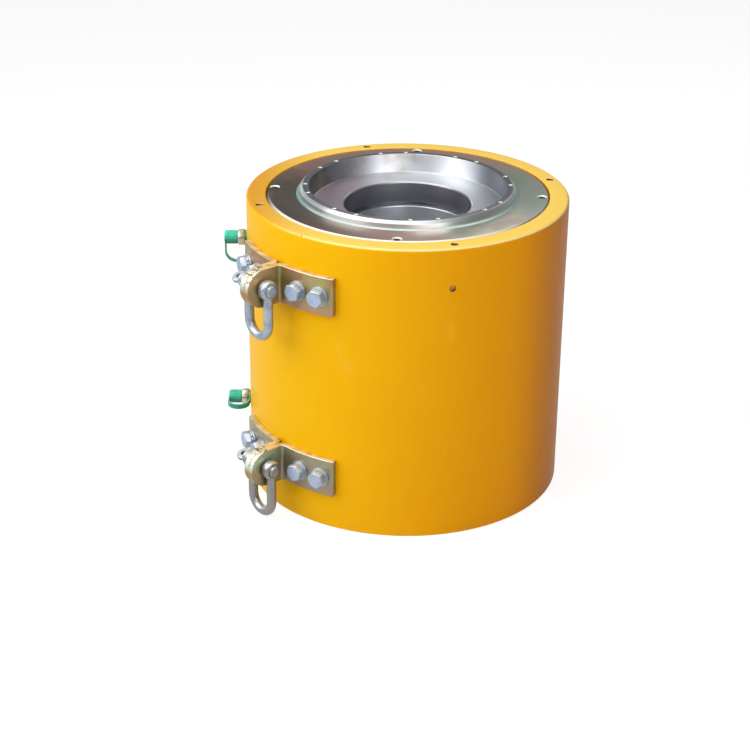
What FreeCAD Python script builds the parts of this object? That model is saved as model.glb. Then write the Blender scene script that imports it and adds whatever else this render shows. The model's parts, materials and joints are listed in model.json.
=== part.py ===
import FreeCAD
import Part

import math
import os
import re

import Sketcher

# A centre-hole hydraulic jack for post-tensioning strands, in millimetres.
# The axis of the jack is +Z, the origin is the middle of its base, and the lifting brackets face -Y.
# An azimuth is measured in degrees from -Y towards +X.

# Driving sizes: name, value, meaning.
SIZES = [
    ("body_radius", 250, "outer radius of the barrel"),
    ("body_height", 470, "height of the barrel"),
    ("base_thickness", 100, "solid base of the barrel, under the oil chamber"),
    ("barrel_rim", 30, "wall of the barrel round the gland ring"),
    ("gland_seat_width", 15, "step in the barrel that the gland ring sits on"),
    ("top_edge_round", 5, "rounding of the barrel's top edge"),
    ("base_edge_chamfer", 2, "chamfer of the barrel's bottom edge"),
    ("rim_hole_radius", 5.1, "tapped holes in the barrel's top rim"),
    ("rim_hole_depth", 24, "depth of the holes in the top rim"),
    ("rim_hole_azimuth", 65, "azimuth of the first hole in the top rim"),
    ("nose_hole_radius", 6.9, "tapped holes in the base, for the nose piece"),
    ("nose_hole_depth", 28, "depth of the holes in the base"),
    ("nose_hole_inset", 50, "from the barrel's outside to the base holes"),
    ("nose_hole_azimuth", 45, "azimuth of the first base hole"),
    ("fit_gap", 0.05, "radial clearance of a running or screwed fit"),
    ("free_gap", 0.3, "clearance of faces that must not touch"),
    ("tube_radius", 108, "outer radius of the centre tube"),
    ("tube_wall", 15, "wall of the centre tube"),
    ("tube_top_drop", 56, "from the barrel's top face down to the tube's lip"),
    ("tube_foot_step", 10, "how far the tube's foot stands out"),
    ("tube_foot_height", 22, "height of the tube's foot"),
    ("tube_lip_chamfer", 1.5, "chamfer of the tube's lip"),
    ("tube_seal_rise", 82, "height of the tube's seal above the bottom"),
    ("tube_seal_height", 7, "height of the tube's seal ring"),
    ("tube_seal_depth", 5, "radial depth of the tube's seal ring"),
    ("gland_height", 74, "height of the gland ring"),
    ("gland_chamfer", 4, "chamfer of the gland ring's top edge"),
    ("gland_seal_rise", 1.5, "from the gland seat to the gland's outer seal"),
    ("gland_seal_height", 4.5, "height of the gland's outer seal"),
    ("gland_seal_depth", 4, "radial depth of the gland's outer seal"),
    ("spanner_hole_radius", 6.5, "spanner holes in the gland ring"),
    ("spanner_hole_depth", 20, "depth of the spanner holes"),
    ("spanner_hole_inset", 12.5, "from the gland's outside to the spanner holes"),
    ("spanner_hole_azimuth", 44, "azimuth of the first spanner hole"),
    ("gland_land", 6, "land between the grooves inside the gland"),
    ("rod_guide_height", 18, "height of the gland's guide ring"),
    ("rod_guide_depth", 3.5, "radial depth of the gland's guide ring"),
    ("rod_seal_height", 12, "height of the rod seal"),
    ("rod_seal_depth", 9, "radial depth of the rod seal"),
    ("wiper_height", 9, "height of the wiper's groove"),
    ("wiper_depth", 5.5, "radial depth of the wiper"),
    ("wiper_lip", 1.2, "how far the wiper's lip stands above the gland"),
    ("rod_step", 37.5, "from the cylinder bore in to the piston rod's outside"),
    ("rim_rise", 12, "height of the piston's rim above the barrel, retracted"),
    ("rim_width", 14.5, "width of the piston's rim"),
    ("rim_chamfer", 4.5, "chamfer outside the piston's rim"),
    ("rim_edge_break", 0.8, "small chamfer inside the piston's rim"),
    ("recess_depth", 29.5, "depth of the recess in the piston's top"),
    ("recess_taper", 4, "how far the recess wall closes in towards its floor"),
    ("piston_shoulder", 9, "from the tube's outside in to the piston's bore"),
    ("bore_edge_chamfer", 2, "chamfer of the piston's bore"),
    ("shoulder_gap", 5, "gap between the tube's lip and the piston's shoulder"),
    ("tube_relief", 4, "relief inside the piston round the tube"),
    ("rim_tap_radius", 2.5, "small tapped holes in the piston's rim"),
    ("rim_tap_depth", 12, "depth of the small tapped holes"),
    ("rim_tap_inset", 8.5, "from the piston's outside to the small tapped holes"),
    ("rim_tap_azimuth", 12, "azimuth of the middle of the first pair"),
    ("rim_tap_spread", 15, "angle between the two holes of a pair"),
    ("rim_tap_sink", 0.9, "countersink of the small tapped holes"),
    ("oil_space_height", 28, "height of the piston head's relieved lower end"),
    ("oil_space_width", 7, "radial width of that relief"),
    ("head_land", 4, "land between the grooves of the piston head"),
    ("head_guide_height", 12, "height of the piston head's guide rings"),
    ("head_guide_depth", 3, "radial depth of the piston head's guide rings"),
    ("head_seal_height", 12, "height of the piston head's seals"),
    ("head_seal_depth", 8, "radial depth of the piston head's seals"),
    ("lock_screw_radius", 5, "set screw that locks the gland ring"),
    ("lock_screw_rise", 11.8, "from the gland seat up to the set screw"),
    ("lock_screw_azimuth", 63.6, "azimuth of the set screw"),
    ("lock_screw_sink", 1.5, "how far the set screw's head lies below the surface"),
    ("lock_slot_width", 1.6, "slot in the set screw"),
    ("lock_slot_depth", 2.2, "depth of the slot in the set screw"),
    ("upper_bracket_drop", 83, "from the barrel's top face down to the upper bracket"),
    ("lower_bracket_rise", 89, "from the bottom up to the lower bracket"),
    ("plate_thickness", 10, "thickness of a bracket plate"),
    ("plate_height", 60, "height of a bracket plate"),
    ("plate_angle", 23.9, "angle from the tab to the end of a plate"),
    ("bend_radius", 5, "inside radius of a plate's bend"),
    ("plate_edge_break", 0.8, "chamfer of a plate's outer edges"),
    ("pin_standoff", 40, "from the barrel's surface out to the shackle pin"),
    ("tab_hole_gap", 0.5, "radial clearance of the pin in the tab"),
    ("first_bolt_angle", 10.3, "angle from the tab to the first bolt"),
    ("second_bolt_angle", 18.9, "angle from the tab to the second bolt"),
    ("bolt_radius", 8, "radius of a bracket bolt"),
    ("bolt_hole_gap", 0.5, "radial clearance of a bolt in a plate or washer"),
    ("bolt_depth", 24, "length of a bolt in the barrel"),
    ("bolt_flats", 24, "width across flats of a bolt head"),
    ("bolt_head_height", 10, "height of a bolt head"),
    ("washer_radius", 15, "radius of a flat washer"),
    ("washer_thickness", 3, "thickness of a flat washer"),
    ("spring_washer_radius", 13.7, "outer radius of a spring washer"),
    ("spring_washer_thickness", 3.5, "thickness of a spring washer"),
    ("spring_washer_slit", 2, "slit of a spring washer"),
    ("shackle_bar_radius", 7.5, "radius of the shackle's bar"),
    ("shackle_jaw", 31, "inside width of the shackle"),
    ("shackle_shift", 4, "from the tab's middle to the middle of the shackle, towards -X"),
    ("shackle_drop", 79, "from the pin down to the middle of the bow's bar"),
    ("eye_radius", 15, "outer radius of the shackle's eyes"),
    ("eye_round", 4, "rounding of the eyes"),
    ("pin_radius", 9, "radius of the shackle pin"),
    ("pin_end_stand", 3.2, "how far the pin's end stands out of its eye"),
    ("pin_end_chamfer", 2, "chamfer of the pin's end"),
    ("pin_collar_radius", 12, "radius of the pin's collar"),
    ("pin_collar_length", 4.5, "length of the pin's collar"),
    ("pin_ear_radius", 11.5, "radius of the pin's flat ear"),
    ("pin_ear_thickness", 7, "thickness of the pin's ear"),
    ("pin_ear_hole_radius", 4.5, "hole in the pin's ear"),
    ("pin_ear_turn", 24, "turn of the pin's ear out of level, about the pin"),
    ("port_azimuth", -42, "azimuth of the two oil ports"),
    ("upper_port_below_seat", 4.6, "from the gland seat down to the upper port"),
    ("lower_port_above_base", 14, "from the chamber's floor up to the lower port"),
    ("port_radius", 8, "threaded radius of an oil port"),
    ("port_depth", 20, "depth of the port's thread"),
    ("oil_way_radius", 3, "radius of the drilled oil way"),
    ("port_seal_thickness", 2, "sealing ring at the bottom of a port"),
    ("adaptor_neck", 3.5, "from the barrel's surface out to the adaptor's hexagon"),
    ("adaptor_flats", 24, "width across flats of the adaptor"),
    ("adaptor_hex_length", 11, "length of the adaptor's hexagon"),
    ("cap_gap", 0.5, "from the hexagon to the dust cap"),
    ("cap_radius", 10.8, "outer radius of a dust cap"),
    ("cap_length", 21, "length of a dust cap"),
    ("cap_wall", 2.2, "wall of a dust cap"),
    ("cap_end_chamfer", 2, "chamfer of a dust cap's end"),
    ("strap_width", 8, "width of the cap's strap"),
    ("strap_thickness", 2.5, "thickness of the cap's strap"),
    ("strap_reach", 41, "from the port's axis to the end of the strap's loop"),
    ("neck_ring_wall", 2.7, "wall of the strap's ring round the adaptor's neck"),
    ("neck_ring_thickness", 2.6, "thickness of the strap's ring"),
    ("upper_strap_turn", 0, "turn of the upper strap from straight down"),
    ("lower_strap_turn", 90, "turn of the lower strap from straight down"),
]

# Sizes that follow from the driving ones: name, formula.
DERIVED = [
    ("gland_radius", "body_radius - barrel_rim"),
    ("bore_radius", "gland_radius - gland_seat_width"),
    ("gland_seat", "body_height - gland_height"),
    ("rim_hole_circle", "(body_radius + gland_radius) / 2"),
    ("tube_inner", "tube_radius - tube_wall"),
    ("tube_top", "body_height - tube_top_drop"),
    ("rod_radius", "bore_radius - rod_step"),
    ("piston_bottom", "base_thickness + free_gap"),
    ("piston_top", "body_height + rim_rise"),
    ("recess_floor", "piston_top - recess_depth"),
    ("recess_radius", "rod_radius - rim_width"),
    ("piston_bore", "tube_radius - piston_shoulder"),
    ("shoulder_height", "tube_top + shoulder_gap"),
    ("lower_guide", "piston_bottom + oil_space_height + head_land"),
    ("head_seal", "lower_guide + head_guide_height + head_land"),
    ("upper_guide", "head_seal + head_seal_height + head_land"),
    ("head_top", "upper_guide + head_guide_height + head_land"),
    ("rod_guide", "gland_seat + gland_land"),
    ("rod_seal", "rod_guide + rod_guide_height + gland_land"),
    ("wiper_groove", "body_height - wiper_height"),
    ("gland_seal", "gland_seat + gland_seal_rise"),
    ("upper_bracket", "body_height - upper_bracket_drop"),
    ("lower_bracket", "lower_bracket_rise"),
    ("pin_distance", "body_radius + pin_standoff"),
    ("plate_outside", "body_radius + plate_thickness"),
    ("upper_port", "gland_seat - upper_port_below_seat"),
    ("lower_port", "base_thickness + lower_port_above_base"),
    ("lock_screw", "gland_seat + lock_screw_rise"),
]

NAMES = {row[0] for row in SIZES + DERIVED}
SIDES = {"right": 1, "left": -1}
LEVELS = ("upper", "lower")
BOLT_TURNS = (9, 34, 18, 47)
SLIT_TURNS = (40, 160, 250, 320)
ADAPTOR_TURN = 17
COS_30 = math.cos(math.radians(30))
TAN_30 = math.tan(math.radians(30))

DOC = FreeCAD.newDocument("jack")
SHEET = DOC.addObject("Spreadsheet::Sheet", "Sizes")


def link(formula):
    """Writes a formula of size names as an expression on the sheet's cells."""
    return re.sub(r"[a-z][a-z_]*", lambda m: "Sizes." + m[0] if m[0] in NAMES else m[0], formula)


def number(formula):
    return float(SHEET.evalExpression(link(formula)))


def bind(thing, **formulas):
    """Binds properties of an object to formulas of size names."""
    for name, formula in formulas.items():
        thing.setExpression(name, link(formula))
    return thing


def fill_sheet():
    for row, (alias, value, meaning) in enumerate(SIZES, start=1):
        SHEET.set("A%d" % row, meaning)
        SHEET.set("B%d" % row, str(value))
        SHEET.setAlias("B%d" % row, alias)
    for row, (alias, formula) in enumerate(DERIVED, start=len(SIZES) + 1):
        SHEET.set("A%d" % row, formula.replace("_", " "))
        SHEET.set("B%d" % row, "=" + re.sub("Sizes[.]", "", link(formula)))
        SHEET.setAlias("B%d" % row, alias)
    DOC.recompute()


def vector(x=0, y=0, z=0):
    return FreeCAD.Vector(x, y, z)


def turn(axis, angle):
    return FreeCAD.Rotation(axis, angle)


X_AXIS = vector(1, 0, 0)
Y_AXIS = vector(0, 1, 0)
Z_AXIS = vector(0, 0, 1)


def radial(azimuth, distance, height, spin=0):
    """Placement whose +Z points outwards, +Y up and +X along the growing azimuth."""
    around = turn(Z_AXIS, azimuth)
    base = around.multVec(vector(0, -distance, height))
    return FreeCAD.Placement(base, around * turn(X_AXIS, 90) * turn(Z_AXIS, spin))


def origin_plane(body, role):
    return [plane for plane in body.Origin.OriginFeatures if plane.Role == role][0]


def new_body(label):
    body = DOC.addObject("PartDesign::Body", "Body")
    body.Label = label
    return body


def new_sketch(body, plane):
    sketch = body.newObject("Sketcher::SketchObject", "Sketch")
    sketch.AttachmentSupport = [(origin_plane(body, plane), "")]
    sketch.MapMode = "FlatFace"
    return sketch


def constrain(sketch, *parts, formula=None):
    """Adds a constraint and, for a size, binds it to its formula."""
    if formula is None:
        return sketch.addConstraint(Sketcher.Constraint(*parts))
    index = sketch.addConstraint(Sketcher.Constraint(*parts, number(formula)))
    sketch.setExpression("Constraints[%d]" % index, link(formula))
    return index


def hold_point(sketch, curve, end, x, y):
    """Fixes a point of a sketch at formulas for x and y, counted from the sketch's origin."""
    for kind, formula, axis in (("DistanceX", x, -2), ("DistanceY", y, -1)):
        if number(formula) == 0:
            constrain(sketch, "PointOnObject", curve, end, axis)
        elif number(formula) > 0:
            constrain(sketch, kind, -1, 1, curve, end, formula=formula)
        else:
            constrain(sketch, kind, curve, end, -1, 1, formula="-(%s)" % formula)


def draw_polygon(sketch, corners):
    """Draws a closed outline whose corners are pairs of formulas."""
    points = [vector(number(x), number(y)) for x, y in corners]
    for start, end in zip(points, points[1:] + points[:1]):
        sketch.addGeometry(Part.LineSegment(start, end), False)
    count = len(corners)
    for index in range(count):
        constrain(sketch, "Coincident", index, 2, (index + 1) % count, 1)
    for index, (x, y) in enumerate(corners):
        hold_point(sketch, index, 1, x, y)


def draw_circle(sketch, x, y, radius):
    centre = vector(number(x), number(y))
    circle = sketch.addGeometry(Part.Circle(centre, Z_AXIS, number(radius)), False)
    hold_point(sketch, circle, 3, x, y)
    constrain(sketch, "Radius", circle, formula=radius)
    return circle


def revolve(body, corners):
    """Revolves an outline of (radius, height) formulas about the body's Z axis."""
    sketch = new_sketch(body, "XZ_Plane")
    draw_polygon(sketch, corners)
    feature = body.newObject("PartDesign::Revolution", "Revolution")
    feature.Profile = sketch
    feature.ReferenceAxis = (sketch, ["V_Axis"])
    feature.Angle = 360
    body.Tip = feature
    DOC.recompute()
    return feature


def hole_circle(body, height, centres, radius, depth, azimuth, copies, upwards=False):
    """Pockets round holes at one azimuth and repeats them round the Z axis.

    centres holds (radius, angle) formulas, the angle counted from the given azimuth.
    """
    sketch = new_sketch(body, "XY_Plane")
    bind(sketch, **{"AttachmentOffset.Base.z": height})
    sketch.AttachmentOffset = FreeCAD.Placement(vector(0, 0, number(height)), turn(Z_AXIS, number(azimuth) - 90))
    for distance, angle in centres:
        x = "%s * cos((%s) * 1 deg)" % (distance, angle)
        y = "%s * sin((%s) * 1 deg)" % (distance, angle)
        draw_circle(sketch, x, y, radius)
    pocket = body.newObject("PartDesign::Pocket", "Pocket")
    pocket.Profile = sketch
    bind(pocket, Length=depth)
    pocket.Reversed = upwards
    DOC.recompute()
    pattern = body.newObject("PartDesign::PolarPattern", "PolarPattern")
    pattern.Originals = [pocket]
    pattern.Axis = (origin_axis(body, "Z_Axis"), [""])
    pattern.Angle = 360
    pattern.Occurrences = copies
    body.Tip = pattern
    DOC.recompute()
    return pattern


def origin_axis(body, role):
    return [axis for axis in body.Origin.OriginFeatures if axis.Role == role][0]


def edges_where(shape, test):
    return ["Edge%d" % (index + 1) for index, edge in enumerate(shape.Edges) if test(edge)]


def circle_at(edge, radius, height):
    """True for a circular edge of this radius at this height."""
    curve = edge.Curve
    close = 0.01
    return (isinstance(curve, Part.Circle) and abs(curve.Radius - radius) < close
            and abs(curve.Center.z - height) < close)


def dress(body, kind, test, **sizes):
    """Adds a fillet or chamfer on the edges of the body's tip that pass a test."""
    base = body.Tip
    feature = body.newObject("PartDesign::" + kind, kind)
    feature.Base = (base, edges_where(base.Shape, test))
    bind(feature, **sizes)
    body.Tip = feature
    DOC.recompute()
    return feature


def cylinder(radius, height, place=None):
    thing = bind(DOC.addObject("Part::Cylinder", "Cylinder"), Radius=radius, Height=height)
    if place:
        thing.Placement = place
    return thing


def combine(kind, things):
    """Joins objects by Part::MultiFuse, Part::MultiCommon or Part::Compound."""
    joined = DOC.addObject("Part::" + kind, kind)
    if kind == "Compound":
        joined.Links = things
    else:
        joined.Shapes = things
    DOC.recompute()
    return joined


def cut(base, tool):
    result = DOC.addObject("Part::Cut", "Cut")
    result.Base = base
    result.Tool = tool
    DOC.recompute()
    return result


def labelled(thing, label):
    thing.Label = label
    return thing


def ring(label, inner, outer, bottom, height):
    """A ring of rectangular section, such as a seal or a guide ring."""
    body = new_body(label)
    top = "%s + %s" % (bottom, height)
    revolve(body, [(inner, bottom), (outer, bottom), (outer, top), (inner, top)])
    return body


def bolt_places():
    """Level, azimuth and running number of each bracket bolt."""
    places = []
    for side in SIDES.values():
        for name in ("first_bolt_angle", "second_bolt_angle"):
            places.append((side * number(name), len(places)))
    return places


# Barrel

def barrel_blank():
    body = new_body("barrel_blank")
    foot = "tube_radius + tube_foot_step + fit_gap"
    tube_hole = "tube_radius + fit_gap"
    groove = "tube_radius + tube_seal_depth"
    groove_top = "tube_seal_rise + tube_seal_height"
    revolve(body, [
        (foot, "0"),
        ("body_radius - base_edge_chamfer", "0"),
        ("body_radius", "base_edge_chamfer"),
        ("body_radius", "body_height"),
        ("gland_radius", "body_height"),
        ("gland_radius", "gland_seat"),
        ("bore_radius", "gland_seat"),
        ("bore_radius", "base_thickness"),
        (tube_hole, "base_thickness"),
        (tube_hole, groove_top),
        (groove, groove_top),
        (groove, "tube_seal_rise"),
        (tube_hole, "tube_seal_rise"),
        (tube_hole, "tube_foot_height"),
        (foot, "tube_foot_height"),
    ])
    radius = number("body_radius")
    height = number("body_height")
    dress(body, "Fillet", lambda edge: circle_at(edge, radius, height), Radius="top_edge_round")
    hole_circle(body, "body_height", [("rim_hole_circle", "0")], "rim_hole_radius", "rim_hole_depth",
                "rim_hole_azimuth", 4)
    hole_circle(body, "0", [("(body_radius - nose_hole_inset)", "0")], "nose_hole_radius", "nose_hole_depth",
                "nose_hole_azimuth", 4, upwards=True)
    return body


def barrel_drillings():
    """The radial holes of the barrel, as solids to cut away."""
    tools = []
    reach = "bolt_depth + body_radius / 10"
    for level in LEVELS:
        height = number(level + "_bracket")
        for azimuth, _ in bolt_places():
            place = radial(azimuth, number("body_radius - bolt_depth"), height)
            tools.append(cylinder("bolt_radius + fit_gap", reach, place))
        port = number(level + "_port")
        place = radial(number("port_azimuth"), number("body_radius - port_depth"), port)
        tools.append(cylinder("port_radius + fit_gap", "port_depth + body_radius / 10", place))
        place = radial(number("port_azimuth"), number("bore_radius - port_depth"), port)
        tools.append(cylinder("oil_way_radius", "body_radius - bore_radius", place))
    place = radial(number("lock_screw_azimuth"), number("gland_radius - lock_screw_radius"), number("lock_screw"))
    tools.append(cylinder("lock_screw_radius + fit_gap", "barrel_rim + 2 * lock_screw_radius", place))
    return combine("Compound", tools)


def make_barrel():
    return labelled(cut(barrel_blank(), barrel_drillings()), "cylinder_barrel")


def make_centre_tube():
    body = new_body("centre_tube")
    foot = "tube_radius + tube_foot_step"
    revolve(body, [
        ("tube_inner", "0"),
        (foot, "0"),
        (foot, "tube_foot_height"),
        ("tube_radius", "tube_foot_height"),
        ("tube_radius", "tube_top - tube_lip_chamfer"),
        ("tube_radius - tube_lip_chamfer", "tube_top"),
        ("tube_inner + tube_lip_chamfer", "tube_top"),
        ("tube_inner", "tube_top - tube_lip_chamfer"),
    ])
    return body


def make_tube_seal():
    outer = "tube_radius + tube_seal_depth - fit_gap"
    return ring("tube_seal_ring", "tube_radius", outer, "tube_seal_rise", "tube_seal_height")


# Gland ring and what it holds

def make_gland():
    body = new_body("gland_ring")
    outside = "gland_radius - fit_gap"
    inside = "rod_radius + free_gap"
    guide = "rod_radius + rod_guide_depth"
    seal = "rod_radius + rod_seal_depth"
    wiper = "rod_radius + wiper_depth"
    groove = "gland_radius - gland_seal_depth"
    groove_top = "gland_seal + gland_seal_height"
    revolve(body, [
        (inside, "gland_seat"),
        (outside, "gland_seat"),
        (outside, "gland_seal"),
        (groove, "gland_seal"),
        (groove, groove_top),
        (outside, groove_top),
        (outside, "body_height - gland_chamfer"),
        ("gland_radius - fit_gap - gland_chamfer", "body_height"),
        (wiper, "body_height"),
        (wiper, "wiper_groove"),
        (inside, "wiper_groove"),
        (inside, "rod_seal + rod_seal_height"),
        (seal, "rod_seal + rod_seal_height"),
        (seal, "rod_seal"),
        (inside, "rod_seal"),
        (inside, "rod_guide + rod_guide_height"),
        (guide, "rod_guide + rod_guide_height"),
        (guide, "rod_guide"),
        (inside, "rod_guide"),
    ])
    hole_circle(body, "body_height", [("(gland_radius - spanner_hole_inset)", "0")], "spanner_hole_radius",
                "spanner_hole_depth", "spanner_hole_azimuth", 4)
    return body


def make_gland_seal():
    inner = "gland_radius - gland_seal_depth"
    return ring("gland_seal_ring", inner, "gland_radius - fit_gap", "gland_seal", "gland_seal_height")


def make_rod_guide():
    inner = "rod_radius + fit_gap"
    return ring("rod_guide_ring", inner, "rod_radius + rod_guide_depth", "rod_guide", "rod_guide_height")


def make_rod_seal():
    body = new_body("rod_seal")
    inner = "rod_radius + fit_gap"
    outer = "rod_radius + rod_seal_depth"
    middle = "rod_radius + rod_seal_depth / 2"
    top = "rod_seal + rod_seal_height"
    notch = "rod_seal + rod_seal_height / 2"
    revolve(body, [
        (inner, "rod_seal"),
        ("rod_radius + rod_seal_depth / 3", "rod_seal"),
        (middle, notch),
        ("rod_radius + rod_seal_depth * 2 / 3", "rod_seal"),
        (outer, "rod_seal"),
        (outer, top),
        (inner, top),
    ])
    return body


def make_wiper():
    body = new_body("rod_wiper")
    outer = "rod_radius + wiper_depth"
    revolve(body, [
        ("rod_radius + fit_gap", "wiper_groove"),
        (outer, "wiper_groove"),
        (outer, "body_height"),
        ("rod_radius + wiper_depth / 2", "body_height"),
        ("rod_radius + wiper_depth / 3", "body_height + wiper_lip"),
        ("rod_radius + fit_gap", "body_height + wiper_lip"),
    ])
    return body


def make_lock_screw():
    radius = "lock_screw_radius"
    tip = number("gland_radius + free_gap")
    cone_height = number("lock_screw_radius / 2")
    place = radial(number("lock_screw_azimuth"), tip, number("lock_screw"))
    point = bind(DOC.addObject("Part::Cone", "Cone"), Radius1=radius + " / 2", Radius2=radius, Height=radius + " / 2")
    point.Placement = place
    shank_place = radial(number("lock_screw_azimuth"), tip + cone_height, number("lock_screw"))
    length = "barrel_rim - free_gap - lock_screw_sink - lock_screw_radius / 2"
    shank = cylinder(radius, length, shank_place)
    slot = bind(DOC.addObject("Part::Box", "Slot"), Length="lock_slot_width", Width="4 * lock_screw_radius",
                Height="2 * lock_slot_depth")
    bottom = number("body_radius - lock_screw_sink - lock_slot_depth")
    corner = vector(-number("lock_slot_width") / 2, -number("2 * lock_screw_radius"), 0)
    slot_turn = 35
    slot.Placement = radial(number("lock_screw_azimuth"), bottom, number("lock_screw"), slot_turn) * (
        FreeCAD.Placement(corner, FreeCAD.Rotation()))
    return labelled(cut(combine("MultiFuse", [point, shank]), slot), "gland_lock_screw")


# Piston and what it carries

def make_piston():
    body = new_body("piston")
    outside = "bore_radius - free_gap"
    guide = "bore_radius - head_guide_depth"
    seal = "bore_radius - head_seal_depth"
    inside = "tube_radius + free_gap"
    inner_guide = "tube_radius + head_guide_depth"
    inner_seal = "tube_radius + head_seal_depth"
    relief = "tube_radius + tube_relief"
    oil_space = "bore_radius - oil_space_width"
    oil_top = "piston_bottom + oil_space_height"
    lower_top = "lower_guide + head_guide_height"
    seal_top = "head_seal + head_seal_height"
    upper_top = "upper_guide + head_guide_height"
    revolve(body, [
        (inside, "piston_bottom"),
        (oil_space, "piston_bottom"),
        (oil_space, oil_top),
        (outside, oil_top),
        (outside, "lower_guide"),
        (guide, "lower_guide"),
        (guide, lower_top),
        (outside, lower_top),
        (outside, "head_seal"),
        (seal, "head_seal"),
        (seal, seal_top),
        (outside, seal_top),
        (outside, "upper_guide"),
        (guide, "upper_guide"),
        (guide, upper_top),
        (outside, upper_top),
        (outside, "head_top"),
        ("rod_radius", "head_top"),
        ("rod_radius", "piston_top - rim_chamfer"),
        ("rod_radius - rim_chamfer", "piston_top"),
        ("recess_radius + rim_edge_break", "piston_top"),
        ("recess_radius", "piston_top - rim_edge_break"),
        ("recess_radius - recess_taper", "recess_floor"),
        ("piston_bore + bore_edge_chamfer", "recess_floor"),
        ("piston_bore", "recess_floor - bore_edge_chamfer"),
        ("piston_bore", "shoulder_height"),
        (relief, "shoulder_height"),
        (relief, "head_top"),
        (inside, "head_top"),
        (inside, seal_top),
        (inner_seal, seal_top),
        (inner_seal, "head_seal"),
        (inside, "head_seal"),
        (inside, lower_top),
        (inner_guide, lower_top),
        (inner_guide, "lower_guide"),
        (inside, "lower_guide"),
    ])
    taps = "(rod_radius - rim_tap_inset)"
    hole_circle(body, "piston_top", [(taps, "rim_tap_spread / 2"), (taps, "-rim_tap_spread / 2")],
                "rim_tap_radius", "rim_tap_depth", "rim_tap_azimuth", 8)
    radius = number("rim_tap_radius")
    height = number("piston_top")
    dress(body, "Chamfer", lambda edge: circle_at(edge, radius, height), Size="rim_tap_sink")
    return body


def make_piston_guides():
    inner = "bore_radius - head_guide_depth"
    outer = "bore_radius - fit_gap"
    rings = [ring("guide_%s" % place, inner, outer, place, "head_guide_height")
             for place in ("lower_guide", "upper_guide")]
    return labelled(combine("Compound", rings), "piston_guide_rings")


def make_piston_seal():
    inner = "bore_radius - head_seal_depth"
    return ring("piston_seal", inner, "bore_radius - fit_gap", "head_seal", "head_seal_height")


def make_bore_seal():
    outer = "tube_radius + head_seal_depth"
    return ring("bore_seal", "tube_radius + fit_gap", outer, "head_seal", "head_seal_height")


def make_bore_guide():
    outer = "tube_radius + head_guide_depth"
    return ring("bore_guide_ring", "tube_radius + fit_gap", outer, "lower_guide", "head_guide_height")


# Lifting brackets

def draw_plate(sketch):
    """Draws the plan of the right-hand plate: a tab, a bend and a leg that follows the barrel."""
    inner = number("body_radius")
    outer = number("plate_outside")
    thick = number("plate_thickness")
    bend = number("bend_radius")
    swing = outer + bend
    reach = math.sqrt(swing ** 2 - (thick + bend) ** 2)
    end = number("pin_distance + plate_height / 2")
    toward = math.atan2(reach, -(thick + bend))
    bend_centre = vector(thick + bend, -reach)
    start = -math.pi / 2 + math.atan2(thick + bend, reach)
    stop = math.radians(number("plate_angle") - 90)
    leg_end = vector(math.cos(stop), math.sin(stop))
    circles = {
        "bend inside": Part.Circle(bend_centre, Z_AXIS, bend),
        "leg outside": Part.Circle(vector(), Z_AXIS, outer),
        "leg inside": Part.Circle(vector(), Z_AXIS, inner),
        "bend outside": Part.Circle(bend_centre, Z_AXIS, bend + thick),
    }
    curves = [
        Part.LineSegment(vector(0, -reach), vector(0, -end)),
        Part.LineSegment(vector(0, -end), vector(thick, -end)),
        Part.LineSegment(vector(thick, -end), vector(thick, -reach)),
        Part.ArcOfCircle(circles["bend inside"], toward, math.pi),
        Part.ArcOfCircle(circles["leg outside"], start, stop),
        Part.LineSegment(leg_end * outer, leg_end * inner),
        Part.ArcOfCircle(circles["leg inside"], start, stop),
        Part.ArcOfCircle(circles["bend outside"], toward, math.pi),
    ]
    tab_inside, tab_end, tab_outside, bend_inside, leg_outside, leg_stop, leg_inside, bend_outside = (
        sketch.addGeometry(curve, False) for curve in curves)
    constrain(sketch, "Coincident", tab_inside, 2, tab_end, 1)
    constrain(sketch, "Coincident", tab_end, 2, tab_outside, 1)
    constrain(sketch, "Tangent", tab_outside, 2, bend_inside, 2)
    constrain(sketch, "Tangent", bend_inside, 1, leg_outside, 1)
    constrain(sketch, "Coincident", leg_outside, 2, leg_stop, 1)
    constrain(sketch, "Coincident", leg_stop, 2, leg_inside, 2)
    constrain(sketch, "Tangent", leg_inside, 1, bend_outside, 1)
    constrain(sketch, "Tangent", bend_outside, 2, tab_inside, 1)
    constrain(sketch, "Coincident", leg_outside, 3, -1, 1)
    constrain(sketch, "Coincident", leg_inside, 3, -1, 1)
    constrain(sketch, "Coincident", bend_inside, 3, bend_outside, 3)
    constrain(sketch, "PointOnObject", tab_inside, 2, -2)
    constrain(sketch, "PointOnObject", -1, 1, leg_stop)
    constrain(sketch, "Horizontal", tab_end)
    constrain(sketch, "Vertical", tab_inside)
    constrain(sketch, "Radius", bend_inside, formula="bend_radius")
    constrain(sketch, "Radius", leg_outside, formula="plate_outside")
    constrain(sketch, "Radius", leg_inside, formula="body_radius")
    constrain(sketch, "DistanceY", tab_inside, 2, -1, 1, formula="pin_distance + plate_height / 2")
    constrain(sketch, "DistanceX", -1, 1, leg_inside, 2, formula="body_radius * sin(plate_angle * 1 deg)")


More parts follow.
